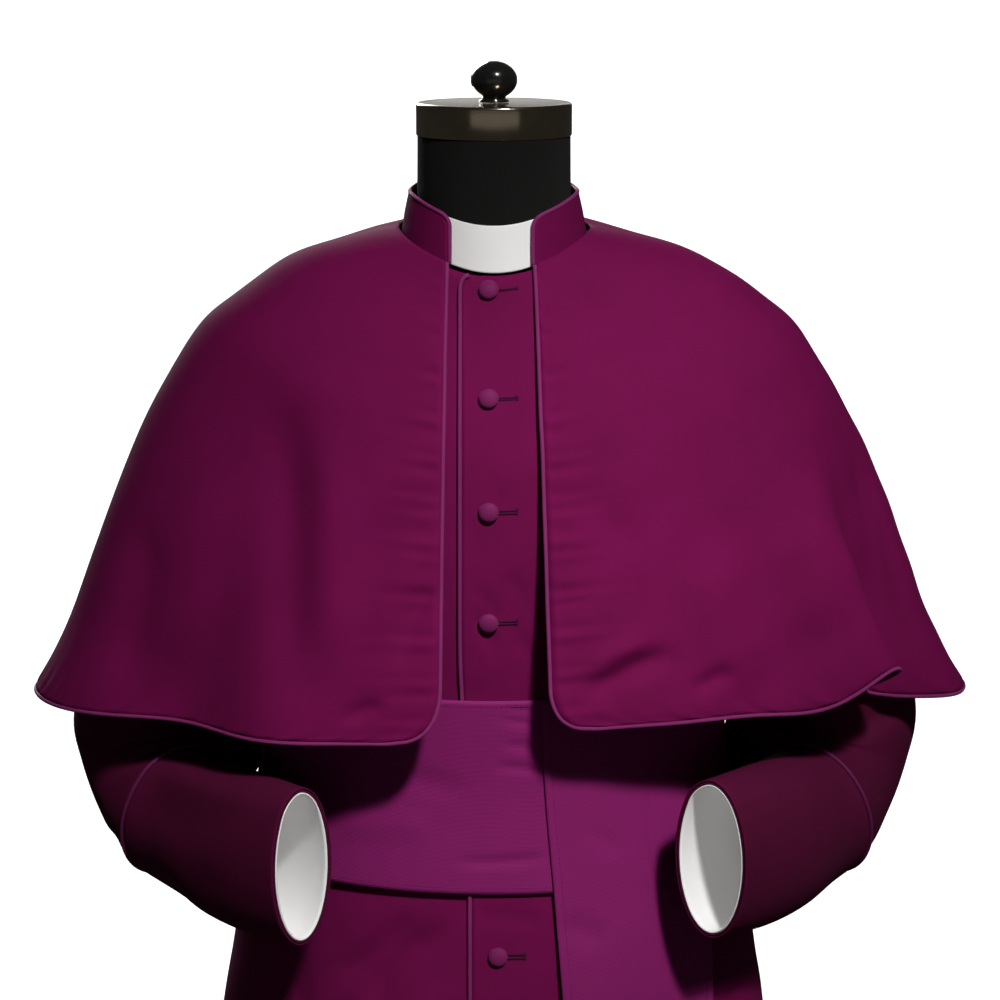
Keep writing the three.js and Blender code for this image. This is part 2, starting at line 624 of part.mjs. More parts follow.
const plateShape = new THREE.Shape().absarc(0, 0, BASE.radius - BASE.bevel, 0, 2 * Math.PI);
const plate = new THREE.ExtrudeGeometry(plateShape, {
  depth: BASE.thick - 2 * BASE.bevel,
  curveSegments: 18,
  bevelThickness: BASE.bevel,
  bevelSize: BASE.bevel,
  bevelSegments: 1,
});
plate.translate(0, 0, BASE.bevel);
add("form_base", plate, chrome());

export default group;
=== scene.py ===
# A clerical cassock with its shoulder cape and waist band, worn by a limbless dress form on a stand.
# Metres. X runs to the wearer's left, the front faces -Y, and Z is up from the floor under the stand.
import math
import bmesh
import bpy
import numpy as np
from mathutils import Matrix, Vector


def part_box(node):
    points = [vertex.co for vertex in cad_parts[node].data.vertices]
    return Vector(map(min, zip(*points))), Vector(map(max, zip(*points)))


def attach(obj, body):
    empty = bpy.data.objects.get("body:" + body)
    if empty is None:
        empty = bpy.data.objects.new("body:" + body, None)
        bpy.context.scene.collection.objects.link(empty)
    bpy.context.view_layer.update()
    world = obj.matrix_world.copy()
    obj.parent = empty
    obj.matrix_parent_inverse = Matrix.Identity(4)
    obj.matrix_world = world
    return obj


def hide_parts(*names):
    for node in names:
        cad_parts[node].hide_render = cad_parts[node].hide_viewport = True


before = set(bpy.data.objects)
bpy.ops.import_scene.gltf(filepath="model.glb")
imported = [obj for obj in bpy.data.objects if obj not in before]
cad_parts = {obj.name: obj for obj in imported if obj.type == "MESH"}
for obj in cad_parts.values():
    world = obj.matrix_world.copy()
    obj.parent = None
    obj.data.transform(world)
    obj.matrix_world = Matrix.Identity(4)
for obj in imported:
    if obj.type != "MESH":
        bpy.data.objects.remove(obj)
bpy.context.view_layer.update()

# ------------------------------------------------------------------ the cassock's fronts and back
# Two fronts and a back of fine magenta wool cloth, sewn together at the sides and shoulders.
# The wearer's left front laps over the right one and is buttoned down the middle; the hem is turned up.
CLOTH = 0.0012
GAP = 0.00035
OVER = 0.0022  # the lapping front's outer face above the other's
SIDE_SEAM = 95  # degrees from the centre front
OVERLAP = 0.024
OVERLAP_ROUND = 0.016
SKEW = 0.007  # below the band the closing sits towards the wearer's left
FIRST_LEVEL = 0.028  # depth of the body's first level at the front

# Levels from the neck seam to the hem: heights at the front, side and back, then reaches to the side,
# the front and the back.
BODY = np.array([
    (1.474, 1.500, 1.512, 0.072, 0.069, 0.068),
    (1.447, 1.489, 1.500, 0.100, 0.081, 0.082),
    (1.413, 1.471, 1.470, 0.146, 0.098, 0.098),
    (1.374, 1.445, 1.430, 0.186, 0.113, 0.112),
    (1.330, 1.395, 1.385, 0.194, 0.125, 0.119),
    (1.272, 1.320, 1.318, 0.190, 0.131, 0.118),
    (1.215, 1.235, 1.238, 0.184, 0.130, 0.109),
    (1.150, 1.152, 1.154, 0.180, 0.126, 0.106),
    (1.085, 1.085, 1.085, 0.181, 0.124, 0.112),
    (1.010, 1.010, 1.010, 0.197, 0.131, 0.134),
    (0.930, 0.930, 0.930, 0.211, 0.143, 0.156),
    (0.850, 0.850, 0.850, 0.222, 0.154, 0.172),
    (0.640, 0.640, 0.640, 0.249, 0.178, 0.206),
    (0.380, 0.380, 0.380, 0.283, 0.205, 0.243),
    (0.092, 0.092, 0.092, 0.320, 0.236, 0.282),
])
# Hanging folds: azimuth and width in degrees, reach out and lift at the last level, and the level
# where each starts.
BODY_FOLDS = [
    (-152, 10, 0.026, 0, 9),
    (-118, 9, 0.020, 0, 10),
    (-84, 10, 0.024, 0, 10),
    (-47, 9, 0.017, 0, 9.5),
    (66, 9, 0.018, 0, 9.5),
    (97, 9, 0.025, 0, 10),
    (128, 10, 0.019, 0, 9.5),
    (163, 9, 0.025, 0, 9),
]
# Creases of the body: the ends as sideways distance and height, half width, depth and bow.
# A trough has a minus depth.
BODY_CREASES = [
    (-0.020, 1.252, 0.004, 1.222, 0.0040, -0.0015, 0.003),
    (-0.016, 1.236, 0.006, 1.196, 0.0045, -0.0019, -0.002),
    (0.004, 1.262, 0.022, 1.236, 0.0040, -0.0013, 0.002),
    (0.012, 1.216, 0.034, 1.182, 0.0050, -0.0015, 0.003),
    (-0.010, 1.330, 0.012, 1.302, 0.0045, -0.0010, 0.002),
    (0.036, 1.250, 0.041, 1.165, 0.0030, -0.0020, 0.001),
    (-0.105, 0.905, -0.030, 0.985, 0.0100, -0.0050, 0.008),
    (-0.130, 0.930, -0.060, 0.996, 0.0090, -0.0037, -0.006),
    (-0.086, 0.880, -0.022, 0.938, 0.0080, 0.0032, 0.006),
    (-0.018, 0.990, 0.040, 0.986, 0.0050, -0.0022, 0.002),
    (0.052, 0.998, 0.062, 0.780, 0.0080, -0.0037, 0.004),
    (-0.160, 1.000, -0.175, 0.700, 0.0140, -0.0063, 0.006),
    (-0.062, 0.900, -0.100, 0.480, 0.0180, -0.0075, 0.008),
    (0.150, 0.960, 0.165, 0.520, 0.0160, -0.0063, -0.006),
]
BACK_CREASES = [
    (-0.120, 1.200, -0.020, 1.172, 0.0100, -0.0030, 0.006),
    (0.030, 1.186, 0.130, 1.215, 0.0110, -0.0035, -0.006),
    (-0.060, 0.990, -0.090, 0.560, 0.0180, -0.0060, 0.010),
    (0.080, 0.985, 0.120, 0.500, 0.0200, -0.0070, -0.012),
    (0.000, 0.960, 0.012, 0.420, 0.0160, 0.0050, 0.008),
]
NUDGE = 0.02  # step for slopes, in degrees and in table rows


def smooth_step(t):
    t = np.clip(t, 0, 1)
    return t * t * (3 - 2 * t)


def sample(table, place):
    """Rows of a table at fractional places, every column on a smooth curve through its values."""
    last = len(table) - 1
    i = np.clip(np.floor(place), 0, last - 1).astype(int)
    t = (place - i)[..., None]
    a, b, c, d = (table[np.clip(i + k, 0, last)] for k in (-1, 0, 1, 2))
    return b + 0.5 * t * (c - a + t * (2 * a - 5 * b + 4 * c - d + t * (3 * (b - c) + d - a)))


def levels(table, folds=()):
    """A garment surface: azimuth from the centre front to the wearer's left, and a place in the table."""

    def surface(azimuth, place):
        z_front, z_side, z_back, half, front, back = np.moveaxis(sample(table, place), -1, 0)
        turn = np.radians(azimuth)
        ahead = np.cos(turn) > 0
        height = z_side + (np.where(ahead, z_front, z_back) - z_side) * np.cos(turn) ** 2
        out = 0
        for middle, width, reach, lift, start in folds:
            away = (azimuth - middle + 180) % 360 - 180
            grown = smooth_step((place - start) / (len(table) - 1 - start))
            weight = grown * np.exp(-((away / width) ** 2))
            out = out + reach * weight
            height = height + lift * weight
        ahead_reach = np.where(ahead, front, back) + out
        return np.stack([(half + out) * np.sin(turn), -ahead_reach * np.cos(turn), height], -1)

    return surface


def creased(point, table, facing):
    """How far creases move a point of the front (facing -1) or the back (facing 1) out of its surface."""
    x, y, z = np.moveaxis(point, -1, 0)
    total = np.zeros_like(x)
    for x0, z0, x1, z1, width, depth, bow in table:
        long = math.hypot(x1 - x0, z1 - z0)
        ux, uz = (x1 - x0) / long, (z1 - z0) / long
        t = ((x - x0) * ux + (z - z0) * uz) / long
        off = (z - z0) * ux - (x - x0) * uz - 4 * bow * t * (1 - t)
        total += depth * np.exp(-((off / width) ** 2)) * smooth_step(3 * t) * smooth_step(3 - 3 * t)
    return total * smooth_step(facing * y / 0.04)


def waver(point, reach=0.0005):
    """The slow unevenness of hanging cloth."""
    x, y, z = np.moveaxis(point, -1, 0)
    return reach * (
        np.sin(41 * x + 17 * z + 1.3) + np.sin(23 * y - 33 * z + 0.4)
        + 0.7 * np.sin(67 * x + 52 * y + 29 * z) + 0.5 * np.sin(95 * z - 71 * x + 2.1)
    )


def raised(surface, relief=None):
    """The surface with its relief, and a third argument: a height above it along its own slope."""

    def panel(azimuth, place, height=0.0):
        point = surface(azimuth, place)
        down = surface(azimuth, place + NUDGE) - surface(azimuth, place - NUDGE)
        across = surface(azimuth + NUDGE, place) - surface(azimuth - NUDGE, place)
        out = np.cross(down, across)
        out /= np.linalg.norm(out, axis=-1, keepdims=True)
        if relief:
            height = height + relief(point)
        return point + out * np.broadcast_to(height, out.shape[:-1])[..., None]

    return panel


def body_relief(point):
    """Creases and unevenness of the body, none where the waist band presses it flat."""
    z = point[..., 2]
    free = 1 - smooth_step((z - 0.985) / 0.02) * smooth_step((1.185 - z) / 0.02)
    return free * (creased(point, BODY_CREASES, -1) + creased(point, BACK_CREASES, 1) + waver(point))


body = raised(levels(BODY, BODY_FOLDS), body_relief)
HEM = len(BODY) - 1


def azimuth_at(table, place, distance):
    """Where a level is a given distance from the centre line, on the front."""
    return np.degrees(np.arcsin(distance / sample(table, place)[..., 3]))


def rounding(radius, distance):
    """How far a rounded corner cuts in, at a distance from the edge that it rounds."""
    short = np.maximum(radius - distance, 0)
    return radius - np.sqrt(radius**2 - short**2)


def skew_at(place):
    return SKEW * smooth_step((place - 6) / 3)


def overlap_edge(place):
    cut = rounding(OVERLAP_ROUND, place * FIRST_LEVEL)
    return -azimuth_at(BODY, place, OVERLAP - skew_at(place) - cut)


def over_front(azimuth, place, height=0.0):
    """The lapping front lies on the other near the centre and comes down to its level before the side seam."""
    return body(azimuth, place, height + OVER * (1 - smooth_step((azimuth - 12) / 30)))


def even_places(surface, azimuth, start, end):
    """A share of the way down a line of cloth as a place in its table."""
    places = np.linspace(start, end, 400)
    line = surface(np.full_like(places, azimuth), places)
    walked = np.concatenate([[0], np.cumsum(np.linalg.norm(np.diff(line, axis=0), axis=1))])
    return lambda share: np.interp(share * walked[-1], walked, places)


def grid_mesh(name, columns, rows, place, closed=False, capped=False, cut=None):
    """A grid whose corners run from 0 to 1 across and down, put where place says, with its UV in metres of cloth.
    Its wear attribute is 1 at the free edges and fades inwards."""
    shape = bmesh.new()
    shape.loops.layers.uv.new("UVMap")
    bmesh.ops.create_grid(shape, x_segments=columns, y_segments=rows, size=0.5, calc_uvs=True)
    mesh = bpy.data.meshes.new(name)
    shape.to_mesh(mesh)
    flat = np.empty(len(mesh.vertices) * 3)
    mesh.vertices.foreach_get("co", flat)
    flat = flat.reshape(-1, 3)
    order = np.lexsort((flat[:, 0].round(6), -flat[:, 1].round(6)))
    corner = flat[order].reshape(rows + 1, columns + 1, 3)
    points = place(corner[..., 0] + 0.5, 0.5 - corner[..., 1])
    across = np.pad(np.cumsum(np.linalg.norm(np.diff(points, axis=1), axis=2), axis=1), [(0, 0), (1, 0)])
    down = np.pad(np.cumsum(np.linalg.norm(np.diff(points, axis=0), axis=2), axis=0), [(1, 0), (0, 0)])
    inset = np.minimum(down, down[-1:] - down)
    if not closed:
        inset = np.minimum(inset, np.minimum(across, across[:, -1:] - across))
    uv = np.empty((len(flat), 2))
    uv[order] = np.stack([across, -down], -1).reshape(-1, 2)
    flat[order] = points.reshape(-1, 3)
    mesh.vertices.foreach_set("co", flat.ravel())
    wear = np.empty(len(flat))
    wear[order] = np.exp(-inset / 0.004).ravel()
    mesh.attributes.new("wear", "FLOAT", "POINT").data.foreach_set("value", wear)
    corner_vertex = np.empty(len(mesh.loops), int)
    mesh.loops.foreach_get("vertex_index", corner_vertex)
    mesh.uv_layers[0].data.foreach_set("uv", uv[corner_vertex].ravel())
    shape.clear()
    shape.from_mesh(mesh)
    if cut:
        cut(shape)
    if closed:
        bmesh.ops.remove_doubles(shape, verts=shape.verts, dist=1e-5)
    if capped:
        bmesh.ops.holes_fill(shape, edges=[edge for edge in shape.edges if edge.is_boundary])
        bmesh.ops.recalc_face_normals(shape, faces=shape.faces)
    for face in shape.faces:
        face.smooth = True
    shape.to_mesh(mesh)
    shape.free()
    return mesh


def piece(name, mesh, material, node=None, wall=0.0):
    """An object that rides on the one body, takes a slot and stands for a node, with a wall inside its face."""
    made = bpy.data.objects.new(name, mesh)
    bpy.context.scene.collection.objects.link(made)
    mesh.materials.append(material)
    if wall:
        thick = made.modifiers.new("wall", "SOLIDIFY")
        thick.thickness = wall
        thick.offset = -1
    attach(made, "root")
    if node:
        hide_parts(node)
    return made


class Value:
    """A node's output, so that sums and products of values read as arithmetic."""

    def __init__(self, finish, socket):
        self.finish = finish
        self.socket = socket

    def math(self, operation, first, second=0.0):
        return self.finish.node("Math", {"operation": operation}, {0: first, 1: second})

    def __add__(self, other):
        return self.math("ADD", self, other)

    def __sub__(self, other):
        return self.math("SUBTRACT", self, other)

    def __rsub__(self, other):
        return self.math("SUBTRACT", other, self)

    def __mul__(self, other):
        return self.math("MULTIPLY", self, other)

    def sine(self):
        return self.math("SINE", self)

    __radd__ = __add__
    __rmul__ = __mul__


class Finish:
    """A material with one Principled shader; its constants are set on the shader itself."""

    def __init__(self, name, constants):
        self.material = bpy.data.materials.new(name)
        self.material.use_nodes = True
        self.tree = self.material.node_tree
        self.shader = self.tree.nodes["Principled BSDF"]
        for socket, value in constants.items():
            self.shader.inputs[socket].default_value = value

    def node(self, kind, settings, sockets, output=0):
        made = self.tree.nodes.new("ShaderNode" + kind)
        for name, value in settings.items():
            setattr(made, name, value)
        for key, value in sockets.items():
            if isinstance(value, Value):
                self.tree.links.new(value.socket, made.inputs[key])
            else:
                made.inputs[key].default_value = value
        return Value(self, made.outputs[output])

    def noise(self, where, scale, detail=2.0):
        return self.node("TexNoise", {}, {"Vector": where, "Scale": scale, "Detail": detail})

    def blend(self, share, first, second):
        return self.node("Mix", {"data_type": "RGBA"}, {0: share, 6: first, 7: second}, output=2)

    def feed(self, socket, value):
        self.tree.links.new(value.socket, self.shader.inputs[socket])

    def bump(self, height, distance, strength=1.0):
        sockets = {"Height": height, "Distance": distance, "Strength": strength}
        self.feed("Normal", self.node("Bump", {}, sockets))


TURN = 2 * math.pi


def woven(name, deep, bright, pitch, rib, relief, roughness, sheen):
    """Woven cloth: threads both ways at a pitch, the warp standing higher by rib, with fibres, slubs and worn edges."""
    constants = {"Sheen Weight": sheen, "Sheen Roughness": 0.45, "Specular IOR Level": 0.06,
                 "Sheen Tint": (1.0, 0.35, 0.75, 1)}
    finish = Finish(name, constants)
    uv = finish.node("TexCoord", {}, {}, output="UV")
    place = finish.node("TexCoord", {}, {}, output="Object")
    u = finish.node("SeparateXYZ", {}, {0: uv}, output=0)
    v = finish.node("SeparateXYZ", {}, {0: uv}, output=1)
    twill = ((u + v * 1.35) * (TURN / pitch)).sine()
    weft = (v * (TURN / pitch)).sine()
    threads = twill * rib + weft * (1 - rib)
    slub = finish.noise(finish.node("Mapping", {}, {"Vector": uv, "Scale": (900, 60, 1)}), 1.0)
    fibre = finish.noise(place, 1600.0, 1.0)
    cloud = finish.noise(place, 9.0, 3.0)
    lot = finish.noise(place, 38.0, 2.0)
    edge = finish.node("Attribute", {"attribute_name": "wear"}, {}, output="Fac")
    share = cloud * 0.55 + lot * 0.25 + slub * 0.3 + threads * 0.05 + edge * 0.25 - 0.05
    share = finish.node("Clamp", {}, {0: share})
    finish.feed("Base Color", finish.blend(share, deep, bright))
    finish.feed("Roughness", fibre * 0.14 + cloud * 0.1 + (roughness - 0.12))
    finish.bump(threads * 0.5 + slub * 0.5 + fibre * 0.35, relief)
    return finish.material


magenta_cloth = woven("magenta_wool", (0.108, 0.0022, 0.041, 1), (0.182, 0.0044, 0.076, 1),
                      0.0008, 0.7, 0.00010, 0.78, 0.015)


def armhole(shape):
    """The two openings for the sleeves, an upright oval in each side, with their edges drawn to the oval."""
    middle_y, middle_z, deep, tall, near = 0.008, 1.385, 0.0608, 0.0668, 0.15

    def oval(point):
        return math.hypot((point.y - middle_y) / deep, (point.z - middle_z) / tall)

    faces = [face for face in shape.faces
             if abs(face.calc_center_median().x) > near and oval(face.calc_center_median()) < 1]
    bmesh.ops.delete(shape, geom=faces, context="FACES")
    for vertex in shape.verts:
        size = oval(vertex.co)
        if vertex.is_boundary and abs(vertex.co.x) > near and size < 1.15:
            vertex.co.y = middle_y + (vertex.co.y - middle_y) / size
            vertex.co.z = middle_z + (vertex.co.z - middle_z) / size


def between(first, last, across):
    return first + (last - first) * across


down_body = even_places(levels(BODY), 0, 0, HEM)


def seam_degrees(place):
    return np.degrees(GAP / sample(BODY, place)[..., 3]) / 2


def seam_roll(across_first, across_last):
    """Cloth turns in a little where it is sewn, at a distance from either seam."""
    return -0.0007 * (np.exp(-across_first / 0.0025) + np.exp(-across_last / 0.0025))


def right_front(across, down):
    s = down_body(down)
    a = between(seam_degrees(s) - SIDE_SEAM, azimuth_at(BODY, s, OVERLAP), across)
    return body(a, s, seam_roll(across * 0.3, 1))


def left_front(across, down):
    s = down_body(down)
    a = between(overlap_edge(s), SIDE_SEAM - seam_degrees(s), across)
    return over_front(a, s, seam_roll(1, (1 - across) * 0.3))


def back_panel(across, down):
    s = down_body(down)
    seam = SIDE_SEAM + seam_degrees(s)
    return body(between(seam, 360 - seam, across), s, seam_roll(across * 0.5, (1 - across) * 0.5))


FRONT_GRID = (96, 230)
BACK_GRID = (150, 230)
front_right = piece("right_front_cloth", grid_mesh("right_front_cloth", *FRONT_GRID, right_front, cut=armhole),
                    magenta_cloth, "cassock_front_right", CLOTH)
front_left = piece("left_front_cloth", grid_mesh("left_front_cloth", *FRONT_GRID, left_front, cut=armhole),
                   magenta_cloth, "cassock_front_left", CLOTH)
back = piece("back_cloth", grid_mesh("back_cloth", *BACK_GRID, back_panel, cut=armhole),
             magenta_cloth, "cassock_back", CLOTH)

# ------------------------------------------------------------------ piping
# A cotton cord in a bias strip of satin, sewn in along every free edge of the garment.
# The lapping front's piping runs round its top corner and straight down to the hem.
PIPE = 0.0016

piping_satin = woven("piping_satin", (0.185, 0.016, 0.105, 1), (0.270, 0.032, 0.160, 1),
                     0.0006, 0.9, 0.00008, 0.5, 0.1)


def piping(name, node, panel, edge, height, outward):
    """A covered cord on an edge of a panel, given as azimuths and places, its middle at a height over the face."""
    azimuth, place = np.array(edge).T
    line = panel(azimuth, place, height)
    along = np.gradient(line, axis=0)
    out = panel(azimuth, place, height + 0.001) - line
    out /= np.linalg.norm(out, axis=1, keepdims=True)
    away = np.cross(along, out)
    away /= np.linalg.norm(away, axis=1, keepdims=True)
    middle = line + away * outward * PIPE * 0.9

    def place_of(across, down):
        k = np.rint(down * (len(edge) - 1)).astype(int)
        turn = TURN * across[..., None]
        return middle[k] + PIPE * (out[k] * np.cos(turn) - away[k] * np.sin(turn))

    mesh = grid_mesh(name, 10, len(edge) - 1, place_of, closed=True, capped=True)
    return piece(name, mesh, piping_satin, node)


overlap_places = down_body(np.linspace(0.0015, 0.9985, 560))
overlap_line = np.stack([overlap_edge(overlap_places), overlap_places], -1)
front_piping = piping("overlap_cord", "overlap_piping", over_front, overlap_line, PIPE + 2 * GAP - OVER, 1)

# ------------------------------------------------------------------ buttons and buttonholes
# Shank buttons 15 mm across, covered in the band's cloth, down the middle of the lapping front.
# Each passes a worked buttonhole: a slit with a close row of thread stitches along both its lips and its end.
BUTTON_RADIUS = 0.0075
BUTTON_HEIGHT = 0.0052
BUTTON_OFFSET = -0.004  # from the centre line
SLIT = 0.0205
SLIT_START = 0.002

button_cloth = woven("button_cloth", (0.125, 0.009, 0.066, 1), (0.200, 0.018, 0.110, 1),
                     0.0007, 0.6, 0.00009, 0.6, 0.12)
thread = woven("buttonhole_thread", (0.050, 0.003, 0.022, 1), (0.085, 0.006, 0.040, 1),
               0.0004, 0.5, 0.00005, 0.6, 0.1)


def turned(profile, steps):
    """A solid of revolution about Z from points of its outline, from the axis to the axis."""
    shape = bmesh.new()
    chain = [shape.verts.new((x, 0, z)) for x, z in profile]
    edges = [shape.edges.new(pair) for pair in zip(chain, chain[1:])]
    bmesh.ops.spin(shape, geom=chain + edges, cent=(0, 0, 0), axis=(0, 0, 1), angle=TURN,
                   steps=steps, use_merge=True)
    bmesh.ops.remove_doubles(shape, verts=shape.verts, dist=1e-6)
    bmesh.ops.recalc_face_normals(shape, faces=shape.faces)
    for face in shape.faces:
        face.smooth = True
    return shape


def finished(shape, name):
    mesh = bpy.data.meshes.new(name)
    shape.to_mesh(mesh)
    shape.free()
    return mesh


def point_and_out(panel, azimuth, place, height=0.0):
    """One point of a panel as a vector, and the direction out of it."""
    a, s = np.array([float(azimuth)]), np.array([float(place)])
    point = panel(a, s, height)[0]
    out = panel(a, s, height + 0.001)[0] - point
    return Vector(point), Vector(out).normalized()


def stitch_row(name, ends, radius, material):
    """Many short thread stitches as one mesh, each a thin rounded bar between two points."""
    bar = bmesh.new()
    bmesh.ops.create_cone(bar, cap_ends=True, segments=6, radius1=radius, radius2=radius, depth=1)
    bmesh.ops.bevel(bar, geom=[edge for edge in bar.edges if len({v.co.z for v in edge.verts}) == 1],
                    offset=radius * 0.5, affect="EDGES", segments=1, profile=0.5, material=-1)
    stitch = finished(bar, name + "_bar")
    shape = bmesh.new()
    for start, end in ends:
        shape.verts.ensure_lookup_table()
        before = len(shape.verts)
        shape.from_mesh(stitch)
        shape.verts.ensure_lookup_table()
        along = end - start
        turn = Vector((0, 0, 1)).rotation_difference(along).to_matrix().to_4x4()
        size = Matrix.Diagonal((1, 1, along.length, 1))
        move = Matrix.Translation((start + end) / 2) @ turn @ size
        bmesh.ops.transform(shape, matrix=move, verts=shape.verts[before:])
    for face in shape.faces:
        face.smooth = True
    bpy.data.meshes.remove(stitch)
    return piece(name, finished(shape, name), material)


button_nodes = sorted(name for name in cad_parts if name.startswith("button_"))
hole_ends = []
for node in button_nodes:
    low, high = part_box(node)
    middle = (low + high) / 2
    s = float(np.interp(-middle.z, -levels(BODY)(np.zeros(1401), np.linspace(0, HEM, 1401))[:, 2],
                        np.linspace(0, HEM, 1401)))
    azimuth = float(azimuth_at(BODY, np.array([s]), BUTTON_OFFSET + skew_at(s))[0])
    point, out = point_and_out(over_front, azimuth, s, GAP)
    dome = [(BUTTON_RADIUS * math.cos(t), 0.0016 + (BUTTON_HEIGHT - 0.0016) * math.sin(t))
            for t in np.linspace(0, math.pi / 2, 9)[:-1]]
    outline = [(0, 0), (0.0035, 0), (0.0064, 0.0004), *dome, (0, BUTTON_HEIGHT)]
    shape = turned(outline, 32)
    place = Matrix.Translation(point) @ Vector((0, 0, 1)).rotation_difference(out).to_matrix().to_4x4()
    bmesh.ops.transform(shape, matrix=place, verts=shape.verts)
    piece(node.replace("button", "covered_button"), finished(shape, node + "_cloth"), button_cloth,
          node)
    # The slit runs from under the button to the wearer's left, its stitches upright and close together.
    half = float(sample(BODY, np.array([s]))[0, 3])
    for step in np.arange(SLIT_START, SLIT, 0.0007):
        for up in (-1, 1):
            ends = [point_and_out(over_front, azimuth + math.degrees(step / half), s + rise, 0.0001)[0]
                    for rise in (up * 0.002, up * 0.032)]
            hole_ends.append(ends)
    for rise in np.linspace(-0.04, 0.04, 5):
        ends = [point_and_out(over_front, azimuth + math.degrees((SLIT + reach) / half), s + rise, 0.0001)[0]
                for reach in (0, 0.0016)]
        hole_ends.append(ends)
stitch_row("buttonhole_stitches", hole_ends, 0.00042, thread)

# ------------------------------------------------------------------ collar and tab
# A low standing collar of the same cloth, stiffened, with rounded front corners and piping round its free edges.
# A stiff white tab stands inside it and shows in the gap at the throat.
HEAVY = 0.0015
COLLAR_LEVELS = np.array([
    (1.512, 1.531, 1.547, 0.0660, 0.065, 0.0650),
    (1.495, 1.517, 1.531, 0.0690, 0.067, 0.0665),
    (1.4756, 1.5016, 1.5136, 0.0715, 0.069, 0.0680),
])
COLLAR_LEFT = 0.031
COLLAR_RIGHT = 0.035
COLLAR_ROUND = 0.009
COLLAR_DEEP = 0.018  # one level of the collar
COLLAR_FOOT = 2
TAB_REACH = 0.038
TAB_INSET = 0.0031

collar = raised(levels(COLLAR_LEVELS), lambda point: waver(point, 0.0002))


def collar_ends(s):
    cut = rounding(COLLAR_ROUND, s * COLLAR_DEEP)
    left = azimuth_at(COLLAR_LEVELS, s, COLLAR_LEFT + cut)
    return left, 360 - azimuth_at(COLLAR_LEVELS, s, COLLAR_RIGHT + cut)


def collar_place(across, down):
    s = down**1.3 * COLLAR_FOOT
    return collar(between(*collar_ends(s), across), s)


collar_cloth = piece("collar_cloth", grid_mesh("collar_cloth", 150, 18, collar_place), magenta_cloth,
                     "collar", HEAVY)
rise = np.linspace(1.85, 0, 26) ** 1.3 / 1.85**0.3
round_top = np.linspace(0, 1, 120)[1:-1]
left_end, right_end = collar_ends(rise)
top_left, top_right = (end[-1] for end in (left_end, right_end))
collar_line = [*zip(left_end, rise), *((between(top_left, top_right, t), 0) for t in round_top),
               *zip(right_end[::-1], rise[::-1])]
collar_cord = piping("collar_cord", "collar_piping", collar, collar_line, -HEAVY / 2, -1)

white_cloth = woven("white_cotton", (0.88, 0.86, 0.84, 1), (0.95, 0.94, 0.93, 1),
                    0.0005, 0.5, 0.00005, 0.6, 0.05)


def tab_place(across, down):
    s = between(-0.02, 1.9, down)
    reach = azimuth_at(COLLAR_LEVELS, s, TAB_REACH)
    return collar(between(-reach, reach, across), s, -TAB_INSET)


tab = piece("tab_cotton", grid_mesh("tab_cotton", 60, 24, tab_place), white_cloth,
            "collar_tab", 0.001)

# ------------------------------------------------------------------ sleeves, cuffs and linings
# Set-in sleeves bent at the elbow, with deep turned-back cuffs edged by piping.
# White cotton lines each sleeve's mouth and shows inside it.
# Centre, half height on the elbow side, half width, heading of the forearm, and pitch of the elbow side.
SLEEVE = np.array([
    (0.166, 0.008, 1.385, 0.065, 0.059, 0, -90),
    (0.194, 0.008, 1.384, 0.065, 0.059, 0, -87),
    (0.215, 0.008, 1.363, 0.059, 0.054, 4, -75),
    (0.230, 0.009, 1.328, 0.051, 0.053, 10, -58),
    (0.245, 0.010, 1.280, 0.048, 0.054, 16, -41),
    (0.261, 0.012, 1.220, 0.049, 0.054, 24, -25),
    (0.276, 0.014, 1.162, 0.053, 0.055, 32, -14),
    (0.287, 0.014, 1.112, 0.055, 0.054, 40, -4),
    (0.280, 0.008, 1.084, 0.057, 0.054, 44, 20),
    (0.270, -0.008, 1.061, 0.056, 0.053, 47, 46),
    (0.260, -0.034, 1.047, 0.054, 0.048, 48, 70),
    (0.238, -0.060, 1.041, 0.056, 0.042, 49, 86),
    (0.212, -0.094, 1.038, 0.060, 0.038, 49, 90),
    (0.180, -0.131, 1.039, 0.062, 0.033, 49, 90),
    (0.144, -0.168, 1.042, 0.060, 0.026, 49, 90),
])
# Loose cloth at the bend sags in beside the body: its middle and width in degrees of turn,
# and its middle row.
SLACK_TURN, SLACK_WIDTH, SLACK_PLACE = 74, 46, 7.8
SLACK_ABOVE, SLACK_BELOW = 3.0, 1.6  # how far it spreads up and down the sleeve, in rows
SLACK_IN = {-1: 0.067, 1: 0.073}  # how far it reaches inwards, on each side
SLACK_FORWARD = 0.035
MOUTH = {-1: (0, 0, 0), 1: (0.018, 0.006, 0.005)}  # how far each mouth is shifted, raised and opened
CUFF_START = 10.3
LINING_START = 11
CUFF_HEIGHT = CLOTH + 2 * GAP
SLEEVE_END = len(SLEEVE) - 1
# Sleeve creases: turn from the elbow side and place of the middle, half sizes, depth, and slant.
SLEEVE_CREASES = [
    (180, 6.1, 46, 0.20, -0.0045, 0.003),
    (178, 6.9, 52, 0.22, -0.0055, -0.002),
    (172, 7.7, 58, 0.20, -0.0060, 0.004),
    (186, 8.5, 50, 0.22, -0.0045, -0.004),
    (95, 6.4, 40, 0.26, -0.0035, 0.010),
    (80, 7.4, 44, 0.24, -0.0040, 0.012),
    (268, 6.6, 44, 0.26, -0.0040, -0.012),
    (120, 5.2, 50, 0.30, -0.0030, 0.008),
    (40, 9.6, 40, 0.22, -0.0025, 0.008),
]
CUFF_CREASES = [
    (142, 12.1, 11, 1.45, 0.0036, 0.0),
    (112, 11.6, 14, 1.10, -0.0022, 0.010),
    (70, 12.6, 20, 0.55, -0.0016, 0.012),
    (215, 12.0, 16, 1.20, 0.0024, 0.0),
    (40, 11.4, 24, 0.40, -0.0018, -0.008),
]


